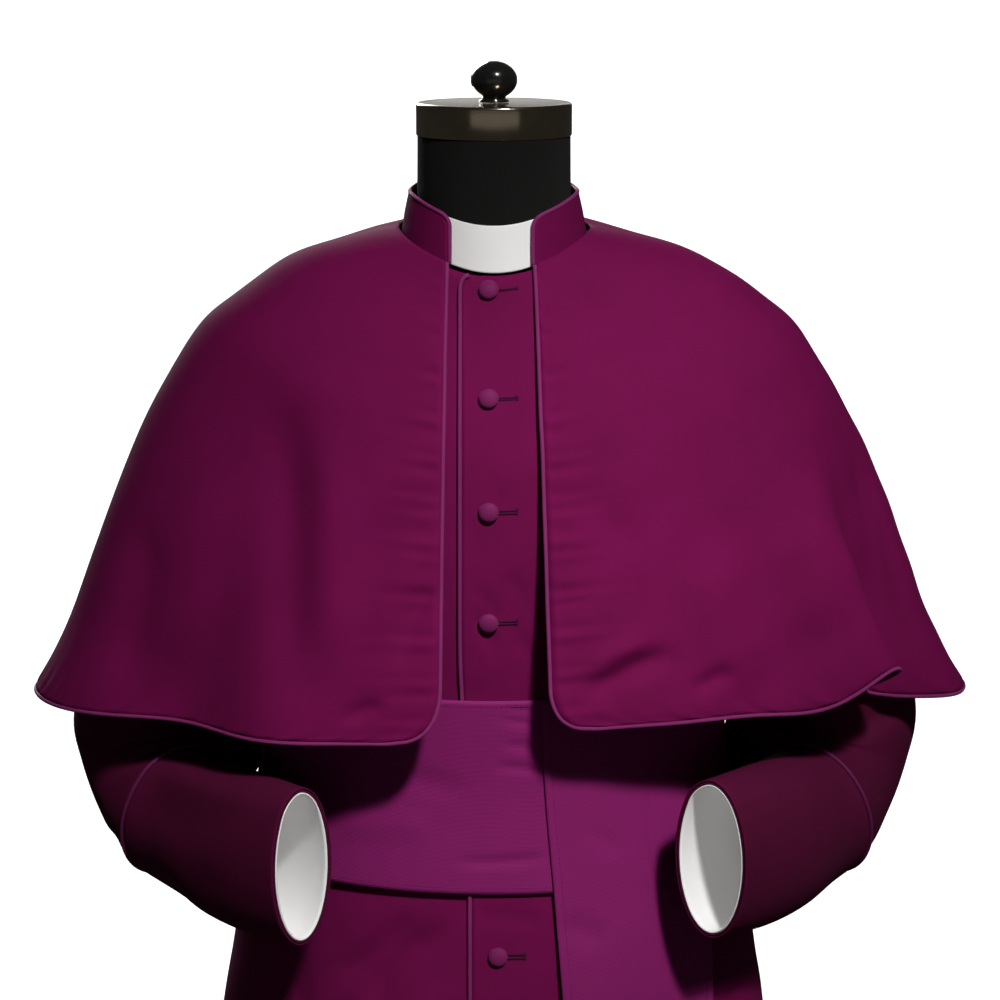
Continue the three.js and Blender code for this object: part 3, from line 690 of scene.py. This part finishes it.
def sleeve_relief(table, turn, place):
    total = 0
    for middle, level, half_turn, half_place, depth, slant in table:
        away = (turn - middle + 180) % 360 - 180
        off = (place - level - slant * away) / half_place
        total = total + depth * np.exp(-((away / half_turn) ** 2) - off**2)
    return total


def sleeve_of(side):
    shift, lift, open_more = MOUTH[side]

    def sleeve(turn, place, height=0.0):
        x, y, z, tall, wide, heading, pitch = np.moveaxis(sample(SLEEVE, place), -1, 0)
        near = smooth_step((place - 9) / (SLEEVE_END - 9))
        h, p, t = np.radians(heading), np.radians(pitch), np.radians(turn)
        height = height + sleeve_relief(SLEEVE_CREASES + CUFF_CREASES, turn, place)
        elbow = np.stack([np.cos(h) * np.cos(p), np.sin(h) * np.cos(p), -np.sin(p)], -1)
        across = np.stack([np.sin(h), -np.cos(h), np.zeros_like(h)], -1)
        away = (side * turn - SLACK_TURN + 180) % 360 - 180
        spread = np.where(place < SLACK_PLACE, SLACK_ABOVE, SLACK_BELOW)
        slack = np.exp(-((away / SLACK_WIDTH) ** 2) - ((place - SLACK_PLACE) / spread) ** 2)
        x, y = x + shift * near - SLACK_IN[side] * slack, y - SLACK_FORWARD * slack
        point = np.stack([x, y, z + lift * near], -1)
        point = point + elbow * ((tall + height) * np.cos(t))[..., None]
        point = point - side * across * ((wide + open_more * near + height) * np.sin(t))[..., None]
        return point * (side, 1, 1)

    return sleeve


# The sleeves and cuffs are the body's wool cloth painted darker: painted shade for the cape's shadow over them and the
# light falling off towards the sides.
sleeve_cloth_painted_shade = woven("sleeve_wool_painted_shade", (0.050, 0.0026, 0.017, 1), (0.095, 0.0048, 0.036, 1),
                     0.0008, 0.7, 0.00010, 0.8, 0.01)
# The cuff piping is the piping satin painted darker: painted shade, like the sleeves it edges.
cuff_satin_painted_shade = woven("cuff_piping_satin_painted_shade", (0.090, 0.007, 0.048, 1), (0.140, 0.014, 0.080, 1),
                   0.0006, 0.6, 0.00005, 0.5, 0.02)
lining_cloth = woven("lining_cotton", (0.78, 0.77, 0.76, 1), (0.90, 0.89, 0.88, 1),
                     0.0006, 0.5, 0.00005, 0.8, 0.02)
thin = lining_cloth.node_tree.nodes["Principled BSDF"]
thin.inputs["Emission Color"].default_value = (1, 1, 1, 1)
thin.inputs["Emission Strength"].default_value = 0.07  # stands for light that bounces about inside the mouth

for side, name in ((-1, "right"), (1, "left")):
    sleeve = sleeve_of(side)
    down_sleeve = even_places(sleeve, 90, 0.5, SLEEVE_END)
    down_cuff = even_places(sleeve, 90, CUFF_START, SLEEVE_END)
    down_lining = even_places(sleeve, 90, LINING_START, SLEEVE_END)

    def sleeve_place(across, down):
        return sleeve(360 * across, down_sleeve(down))

    def cuff_place(across, down):
        return sleeve(360 * across, down_cuff(down), CUFF_HEIGHT)

    def lining_place(across, down):
        return sleeve(360 * across, down_lining(down), -CUFF_HEIGHT)

    tube = piece("sleeve_cloth_painted_shade_" + name, grid_mesh("sleeve_cloth_painted_shade_" + name, 88, 150, sleeve_place, closed=True),
                 sleeve_cloth_painted_shade, "sleeve_" + name, CLOTH)
    cuff = piece("cuff_cloth_" + name, grid_mesh("cuff_cloth_" + name, 96, 64, cuff_place, closed=True),
                 sleeve_cloth_painted_shade, "cuff_" + name, CLOTH)
    lining = piece("lining_cotton_" + name, grid_mesh("lining_cotton_" + name, 72, 44, lining_place, closed=True),
                   lining_cloth, "lining_" + name, 0.001)
    ring = [(turn, CUFF_START) for turn in np.linspace(0, 360, 110)]
    cuff_cord = piping("cuff_cord_" + name, "cuff_piping_" + name, sleeve, ring, PIPE + 2 * GAP, -1)
    cuff_cord.data.materials[0] = cuff_satin_painted_shade

# ------------------------------------------------------------------ waist band, fall and keeper
# A band of smooth ribbed silk-and-wool cloth round the waist, doubled and hemmed, with a wide fall hanging
# over it on the wearer's left, and a narrow pink ribbon that keeps it in place on the wearer's right.
BAND_HEIGHT = 0.0062
FALL_HEIGHT = 0.0087
KEEPER_HEIGHT = 0.0085
BAND_TOP = 1.161
BAND_BOTTOM = 1.008
FALL_END = 0.330
FALL_TOP_EDGES = (11, 61)  # azimuths of its edges at the band's top, and at its own end
FALL_END_EDGES = (17, 43)
KEEPER_AZIMUTH = -78
KEEPER_WIDTH = 0.005
BAND_CREASES = [
    (0.004, 1.1545, 0.040, 1.1500, 0.0022, -0.0012, 0.001),
    (0.000, 1.1480, 0.040, 1.1425, 0.0026, -0.0014, -0.001),
    (0.004, 1.1260, 0.038, 1.1220, 0.0028, -0.0013, 0.001),
    (-0.002, 1.1085, 0.040, 1.1020, 0.0030, -0.0015, 0.002),
    (-0.036, 1.0330, 0.046, 1.0375, 0.0036, -0.0016, -0.002),
    (-0.110, 1.1000, -0.010, 1.0850, 0.0110, -0.0016, 0.004),
    (-0.130, 1.0500, -0.040, 1.0600, 0.0120, 0.0014, 0.003),
]
FALL_CREASES = [
    (0.110, 1.090, 0.124, 0.985, 0.0022, -0.0014, 0.001),
    (0.060, 1.060, 0.100, 1.030, 0.0090, -0.0012, 0.002),
    (0.045, 0.985, 0.085, 0.965, 0.0100, -0.0016, 0.003),
    (0.070, 0.930, 0.082, 0.560, 0.0120, 0.0025, 0.004),
    (0.110, 0.900, 0.118, 0.500, 0.0100, -0.0030, -0.004),
]

band_cloth = woven("band_faille", (0.175, 0.0085, 0.092, 1), (0.245, 0.016, 0.136, 1),
                   0.0010, 0.15, 0.00010, 0.6, 0.05)
body_plain = raised(levels(BODY, BODY_FOLDS))
front_heights = levels(BODY)(np.zeros(1401), np.linspace(0, HEM, 1401))[:, 2]


def place_of(height):
    """The place in the body's table whose front is at a height."""
    return np.interp(-np.asarray(height), -front_heights, np.linspace(0, HEM, 1401))


def with_creases(panel, table):
    """A panel with creases of its own, above its surface and never below it."""

    def pressed(azimuth, place, height=0.0):
        return panel(azimuth, place, height + creased(panel(azimuth, place), table, -1))

    return pressed


band_panel = with_creases(body_plain, BAND_CREASES)
fall_panel = with_creases(body_plain, FALL_CREASES)


def band_place(across, down):
    return band_panel(360 * across - 180, place_of(between(BAND_TOP, BAND_BOTTOM, down)), BAND_HEIGHT)


def fall_edges(s):
    top, end = place_of(BAND_TOP), place_of(FALL_END)
    share = (s - top) / (end - top)
    return [between(first, last, share) for first, last in zip(FALL_TOP_EDGES, FALL_END_EDGES)]


def fall_place(across, down):
    s = place_of(between(BAND_TOP, FALL_END, down))
    return fall_panel(between(*fall_edges(s), across), s, FALL_HEIGHT)


def keeper_place(across, down):
    s = place_of(between(BAND_TOP + 0.005, BAND_BOTTOM - 0.005, down))
    half = math.degrees(KEEPER_WIDTH / 2 / 0.126)
    return body_plain(between(KEEPER_AZIMUTH - half, KEEPER_AZIMUTH + half, across), s, KEEPER_HEIGHT)


band = piece("band_faille", grid_mesh("band_faille", 330, 48, band_place, closed=True), band_cloth,
             "band", HEAVY)
fall = piece("fall_faille", grid_mesh("fall_faille", 64, 200, fall_place), band_cloth,
             "band_fall", HEAVY)
ribbon = woven("keeper_ribbon", (0.42, 0.012, 0.12, 1), (0.58, 0.03, 0.19, 1), 0.0006, 0.5, 0.00006, 0.5, 0.1)
keeper = piece("keeper_ribbon", grid_mesh("keeper_ribbon", 6, 40, keeper_place), ribbon,
               "band_keeper", CLOTH)


def stitches_along(panel, path, height, long, space):
    """The ends of running stitches along a path of azimuths and places, lying on the panel."""
    azimuth, place = np.array(path).T
    line = panel(azimuth, place, height)
    walked = np.concatenate([[0], np.cumsum(np.linalg.norm(np.diff(line, axis=0), axis=1))])
    starts = np.arange(space, walked[-1] - long, long + space)
    ends = [np.stack([np.interp(starts + ahead, walked, line[:, k]) for k in range(3)], -1) for ahead in (0, long)]
    return [(Vector(a), Vector(b)) for a, b in zip(*ends)]


band_thread = woven("band_thread", (0.110, 0.008, 0.060, 1), (0.170, 0.016, 0.095, 1),
                    0.0004, 0.5, 0.00005, 0.6, 0.1)
ring = np.linspace(-180, 180, 720)
band_hems = [stitches_along(band_panel, [(a, place_of(z)) for a in ring], BAND_HEIGHT + 0.00005, 0.0026, 0.0012)
             for z in (BAND_BOTTOM + 0.0045, BAND_TOP - 0.0045)]
band_stitches = stitch_row("band_stitches", sum(band_hems, []), 0.00022, band_thread)
fall_down = place_of(np.linspace(BAND_TOP - 0.004, FALL_END + 0.004, 300))
fall_hems = []
for inset, side in ((1.9, 0), (-1.9, 1)):
    path = [(fall_edges(s)[side] + inset, s) for s in fall_down]
    fall_hems += stitches_along(fall_panel, path, FALL_HEIGHT + 0.00005, 0.0026, 0.0012)
fall_stitches = stitch_row("fall_stitches", fall_hems, 0.00022, band_thread)

# ------------------------------------------------------------------ shoulder cape
# An elbow-length cape of the same wool cloth, doubled, in two halves joined by a seam down the back.
# Piping edges each half from the neck, round a rounded lower corner and along the hem.
CAPE = np.array([
    (1.479, 1.505, 1.517, 0.074, 0.072, 0.071),
    (1.451, 1.497, 1.505, 0.110, 0.086, 0.088),
    (1.416, 1.480, 1.476, 0.160, 0.105, 0.106),
    (1.378, 1.451, 1.436, 0.205, 0.121, 0.124),
    (1.351, 1.425, 1.404, 0.233, 0.130, 0.132),
    (1.312, 1.374, 1.356, 0.264, 0.140, 0.138),
    (1.272, 1.320, 1.304, 0.290, 0.148, 0.142),
    (1.225, 1.253, 1.246, 0.316, 0.157, 0.144),
    (1.184, 1.195, 1.194, 0.338, 0.165, 0.150),
    (1.140, 1.138, 1.140, 0.367, 0.174, 0.158),
])
CAPE_HEM = len(CAPE) - 1
CAPE_FOLDS = [
    (-158, 11, 0.014, 0, 3),
    (-128, 10, -0.012, 0, 3),
    (-46, 13, -0.026, 0, 3),
    (-27, 9, 0.010, 0, 4),
    (14, 14, 0.002, 0.012, 5),
    (34, 13, -0.008, 0.012, 4),
    (55, 9, 0.008, 0.040, 5),
    (67, 7, -0.058, 0, 5),
    (88, 38, 0.009, 0.002, -2),
    (120, 10, -0.012, 0, 3),
    (150, 11, 0.014, 0, 3),
]
CAPE_EDGE = {-1: (0.037, 0.042, 0.037), 1: (0.032, 0.044, 0.033)}  # distance at neck and hem, corner radius
CAPE_LAST_LEVEL = 0.045
CAPE_CREASES = [
    (0.060, 1.168, 0.142, 1.204, 0.0090, -0.0067, 0.006),
    (0.066, 1.186, 0.120, 1.214, 0.0080, 0.0035, 0.005),
    (0.148, 1.170, 0.180, 1.188, 0.0070, -0.0048, 0.002),
    (0.150, 1.290, 0.192, 1.160, 0.0240, 0.0051, 0.004),
    (0.276, 1.360, 0.312, 1.165, 0.0110, -0.0072, 0.004),
    (0.232, 1.300, 0.250, 1.200, 0.0200, 0.0042, 0.002),
    (0.044, 1.240, 0.073, 1.246, 0.0016, -0.0013, 0.000),
    (0.055, 1.330, 0.100, 1.270, 0.0160, -0.0022, 0.006),
    (-0.072, 1.188, -0.044, 1.262, 0.0075, -0.0029, 0.003),
    (-0.090, 1.200, -0.052, 1.290, 0.0100, 0.0022, 0.004),
    (-0.112, 1.152, -0.082, 1.170, 0.0060, -0.0042, 0.002),
    (-0.160, 1.400, -0.158, 1.150, 0.0200, -0.0072, 0.004),
    (-0.125, 1.380, -0.118, 1.160, 0.0180, 0.0045, 0.003),
    (-0.215, 1.360, -0.240, 1.150, 0.0240, 0.0048, 0.004),
    (-0.262, 1.300, -0.292, 1.140, 0.0160, -0.0056, 0.004),
]
CAPE_BACK_CREASES = [
    (-0.100, 1.420, -0.130, 1.150, 0.0200, -0.0059, 0.006),
    (0.070, 1.400, 0.090, 1.150, 0.0180, -0.0052, -0.005),
    (-0.210, 1.360, -0.260, 1.150, 0.0220, 0.0039, 0.006),
    (0.190, 1.380, 0.230, 1.150, 0.0220, -0.0047, 0.004),
    (0.020, 1.180, 0.075, 1.196, 0.0080, -0.0034, 0.003),
]


def cape_relief(point):
    return creased(point, CAPE_CREASES, -1) + creased(point, CAPE_BACK_CREASES, 1) + waver(point, 0.0006)


cape_surface = raised(levels(CAPE, CAPE_FOLDS), cape_relief)
down_cape = even_places(levels(CAPE, CAPE_FOLDS), 30, 0, CAPE_HEM)
PUCKER = 0.0009  # the sewing draws the cloth up beside its piping


def cape_front(side, s):
    neck, hem, corner = CAPE_EDGE[side]
    cut = rounding(corner, (CAPE_HEM - s) * CAPE_LAST_LEVEL)
    return azimuth_at(CAPE, s, neck + (hem - neck) * s / CAPE_HEM + cut)


def puckers(along, inset):
    wave = np.sin(along * 420) + 0.7 * np.sin(along * 263 + 1.0) + 0.5 * np.sin(along * 611 + 2.0)
    return PUCKER * wave * np.exp(-inset / 0.012) * (1 - np.exp(-inset / 0.003))


for side, name in ((-1, "right"), (1, "left")):
    seam = 180 - math.degrees(GAP / 2 / 0.15)

    def cape_place(across, down):
        s = down_cape(down)
        share = across if side > 0 else 1 - across
        azimuth = side * between(cape_front(side, s), seam, share)
        sideways, downwards = share * 0.55, (1 - down) * 0.36
        height = puckers(down * 0.36, sideways) + puckers(share * 0.62, downwards)
        height = height - 0.0008 * np.exp(-(1 - share) * 0.55 / 0.003)
        return cape_surface(azimuth, s, height)

    half = piece("cape_cloth_" + name, grid_mesh("cape_cloth_" + name, 160, 138, cape_place), magenta_cloth,
                 "cape_" + name, HEAVY)
    edge_down = down_cape(np.linspace(0.004, 1, 230))
    hem_turns = np.linspace(cape_front(side, np.array([CAPE_HEM]))[0], seam - 0.6, 320)[1:]
    cord_line = [*((side * cape_front(side, np.array([s]))[0], s) for s in edge_down),
                 *((side * a, CAPE_HEM) for a in hem_turns)]
    cord = piping("cape_cord_" + name, "cape_piping_" + name, cape_surface, cord_line, -HEAVY / 2, side)

# ------------------------------------------------------------------ dress form
# A firm padded torso under black jersey, closed at the neck by a plated cap with a glossy black knob.
# It stands on a plated pole in a round plate.
FORM_LEVELS = 12
NECK = [(1.5746, 0.059), (1.560, 0.0591), (1.548, 0.0592), (1.534, 0.0594), (1.520, 0.0595)]
# How much smaller each of the form's levels is than the cassock's, and how much lower it lies.
FORM_EASE = np.array([9, 6, 6, 7, 9, 11, 13, 18, 20, 28, 38, 60]) / 1000
FORM_DROP = np.array([5, 7, 8, 8, 8, 6, 2, 0, 0, 0, 0, 0]) / 1000

form_table = BODY[:FORM_LEVELS].copy()
form_table[:, :3] -= FORM_DROP[:, None]
form_table[:, 3:] -= FORM_EASE[:, None]
neck_rows = np.array([(z, z, z, radius, radius, radius) for z, radius in NECK])
form_surface = levels(np.vstack([neck_rows, form_table]))


def jersey(name):
    """Black cotton jersey: fine upright ribs of stitches and a soft worn nap."""
    finish = Finish(name, {"Sheen Weight": 0.02, "Sheen Roughness": 0.5, "Specular IOR Level": 0.1})
    uv = finish.node("TexCoord", {}, {}, output="UV")
    place = finish.node("TexCoord", {}, {}, output="Object")
    u = finish.node("SeparateXYZ", {}, {0: uv}, output=0)
    v = finish.node("SeparateXYZ", {}, {0: uv}, output=1)
    ribs = (u * (TURN / 0.0011)).sine()
    rows = (v * (TURN / 0.0009)).sine()
    nap = finish.noise(place, 700.0)
    cloud = finish.noise(place, 14.0, 3.0)
    share = finish.node("Clamp", {}, {0: cloud * 0.6 + nap * 0.4 + ribs * 0.12})
    finish.feed("Base Color", finish.blend(share, (0.005, 0.005, 0.0048, 1), (0.014, 0.0135, 0.0125, 1)))
    finish.feed("Roughness", nap * 0.12 + 0.85)
    finish.bump(ribs * 0.5 + rows * 0.3 + nap * 0.5, 0.0002)
    return finish.material


def form_place(across, down):
    return form_surface(360 * across - 180, down * (len(NECK) + FORM_LEVELS - 1))


piece("form_jersey", grid_mesh("form_jersey", 90, 150, form_place, closed=True, capped=True),
      jersey("black_jersey"), "form_torso")


def plated(name, deep, bright, roughness):
    """Plated steel, polished, with fine turning marks, thin haze and small stains."""
    finish = Finish(name, {"Metallic": 1.0})
    place = finish.node("TexCoord", {}, {}, output="Object")
    haze = finish.noise(place, 30.0, 4.0)
    marks = finish.noise(finish.node("Mapping", {}, {"Vector": place, "Scale": (40, 40, 1500)}), 1.0)
    finish.feed("Base Color", finish.blend(haze, deep, bright))
    finish.feed("Roughness", haze * 0.12 + marks * 0.06 + roughness)
    finish.bump(marks, 0.00003, 0.5)
    return finish.material


bronze = plated("aged_plating", (0.28, 0.225, 0.155, 1), (0.48, 0.40, 0.28, 1), 0.08)
steel = plated("stand_plating", (0.52, 0.50, 0.47, 1), (0.72, 0.70, 0.66, 1), 0.10)


def arc(radius, height, x, z, first, last, count):
    """Points of an oval arc, its angles in degrees from the outward side."""
    return [(x + radius * math.cos(math.radians(t)), z + height * math.sin(math.radians(t)))
            for t in np.linspace(first, last, count)]


low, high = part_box("form_cap")
CAP_EDGE = 0.0022
cap_radius = high.x
cap_outline = [(0, low.z), *arc(0.0010, 0.0010, cap_radius - 0.0010, low.z + 0.0010, -90, 0, 4),
               *arc(CAP_EDGE, CAP_EDGE, cap_radius - CAP_EDGE, high.z - CAP_EDGE, 0, 90, 7),
               (cap_radius * 0.86, high.z - 0.0002), (0, high.z - 0.0004)]
piece("cap_plating", finished(turned(cap_outline, 128), "cap_plating"), bronze, "form_cap")

low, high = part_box("form_knob")
KNOB_FOOT = 0.0085
knob_radius = high.x
knob_middle = high.z - 0.0145
knob_outline = [(0, low.z), (KNOB_FOOT + 0.003, low.z), (KNOB_FOOT + 0.003, low.z + 0.0012),
                (KNOB_FOOT, low.z + 0.0026), *arc(knob_radius, 0.0145, 0, knob_middle, -58, -3, 12),
                (knob_radius * 0.985, knob_middle), *arc(knob_radius, 0.0145, 0, knob_middle, 3, 84, 16),
                (0, high.z)]
gloss = Finish("black_lacquer", {"Coat Weight": 0.6, "Coat Roughness": 0.05})
lacquer_place = gloss.node("TexCoord", {}, {}, output="Object")
scuffs = gloss.noise(lacquer_place, 180.0, 4.0)
gloss.feed("Base Color", gloss.blend(scuffs, (0.004, 0.004, 0.004, 1), (0.014, 0.013, 0.012, 1)))
gloss.feed("Roughness", scuffs * 0.18 + 0.10)
gloss.bump(scuffs, 0.00003, 0.4)
piece("knob_lacquer", finished(turned(knob_outline, 64), "knob_lacquer"), gloss.material,
      "form_knob")

low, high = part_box("form_pole")
pole_outline = [(0, low.z), (high.x - 0.0004, low.z), (high.x, low.z + 0.0004), (high.x, high.z - 0.0004),
                (high.x - 0.0004, high.z), (0, high.z)]
piece("pole_plating", finished(turned(pole_outline, 48), "pole_plating"), steel, "form_pole")

low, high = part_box("form_base")
PLATE_EDGE = 0.003
plate_outline = [(0, low.z), *arc(PLATE_EDGE, PLATE_EDGE, high.x - PLATE_EDGE, low.z + PLATE_EDGE, -90, 0, 6),
                 *arc(PLATE_EDGE, PLATE_EDGE, high.x - PLATE_EDGE, high.z - PLATE_EDGE, 0, 90, 6), (0, high.z)]
piece("plate_plating", finished(turned(plate_outline, 128), "plate_plating"), steel,
      "form_base")

# ------------------------------------------------------------------ studio
# A plain pale floor, a soft main light from high in front, a weak panel in front, and a light
# and a card behind.
# The camera stands a little above the shoulders and looks down at the garment's upper half.
FLOOR_SIZE = 160
CAMERA_BACK = 2.1
CAMERA_HEIGHT = 1.736
CAMERA_DOWN = 12.05
FOCAL_SHARE = 2.712  # focal length over the picture's width
SENSOR = 36

pale = Finish("pale_floor", {"Roughness": 0.9, "Emission Color": (1, 1, 1, 1), "Emission Strength": 0.86})
floor_place = pale.node("TexCoord", {}, {}, output="Object")
pale.feed("Base Color", pale.blend(pale.noise(floor_place, 3.0), (0.90, 0.90, 0.90, 1), (0.93, 0.93, 0.93, 1)))
ground = bmesh.new()
bmesh.ops.create_grid(ground, x_segments=1, y_segments=1, size=FLOOR_SIZE / 2)
floor = bpy.data.objects.new("floor", finished(ground, "floor"))
bpy.context.scene.collection.objects.link(floor)
floor.data.materials.append(pale.material)
floor.visible_diffuse = False
floor.visible_glossy = False


def aimed(data, place, target):
    """A light or camera at a place, turned to face a target."""
    made = bpy.data.objects.new(data.name, data)
    made.location = place
    made.rotation_euler = (Vector(target) - Vector(place)).to_track_quat("-Z", "Y").to_euler()
    bpy.context.scene.collection.objects.link(made)
    return made


MIDDLE = (0.02, 0, 1.12)
sun = bpy.data.lights.new("broad_light", "SUN")
sun.energy = 0.9
sun.angle = math.radians(7)
aimed(sun, (1.2, -3.2, 4.9), MIDDLE)
main = bpy.data.lights.new("main_light", "SPOT")
main.energy = 1080
main.spot_size = math.radians(10.4)
main.spot_blend = 1
main.shadow_soft_size = 0.26
aimed(main, (1.2, -3.2, 4.9), MIDDLE)
fill = bpy.data.lights.new("fill_panel", "AREA")
fill.shape = "RECTANGLE"
fill.size = 6
fill.size_y = 1.0
fill.energy = 4
aimed(fill, (0.1, -4.2, 1.3), (0, 0, 1.4))
back_light = bpy.data.lights.new("back_light", "SUN")
back_light.energy = 1.8
back_light.angle = math.radians(25)
aimed(back_light, (-1.3, 4, 2.4), MIDDLE)
card = bpy.data.lights.new("rear_card", "AREA")
card.shape = "RECTANGLE"
card.size = 2.4
card.size_y = 1.2
card.energy = 6
aimed(card, (0, 4.2, 2.5), (0, 0, 1.55))

world = bpy.data.worlds.new("studio")
world.use_nodes = True
bpy.context.scene.world = world
backdrop = world.node_tree.nodes["Background"]
seen = world.node_tree.nodes.new("ShaderNodeLightPath")
shown = world.node_tree.nodes.new("ShaderNodeMapRange")
shown.inputs["To Min"].default_value = 0.035
shown.inputs["To Max"].default_value = 0.92
world.node_tree.links.new(seen.outputs["Is Camera Ray"], shown.inputs["Value"])
world.node_tree.links.new(shown.outputs[0], backdrop.inputs["Strength"])
backdrop.inputs["Color"].default_value = (1, 1, 1, 1)
bpy.context.scene.view_settings.view_transform = "Standard"

lens = bpy.data.cameras.new("camera")
lens.sensor_width = SENSOR
lens.lens = FOCAL_SHARE * SENSOR
lens.shift_x = 0.006
camera = bpy.data.objects.new("camera", lens)
camera.location = (0, -CAMERA_BACK, CAMERA_HEIGHT)
camera.rotation_euler = (math.radians(90 - CAMERA_DOWN), 0, 0)
bpy.context.scene.collection.objects.link(camera)
bpy.context.scene.camera = camera
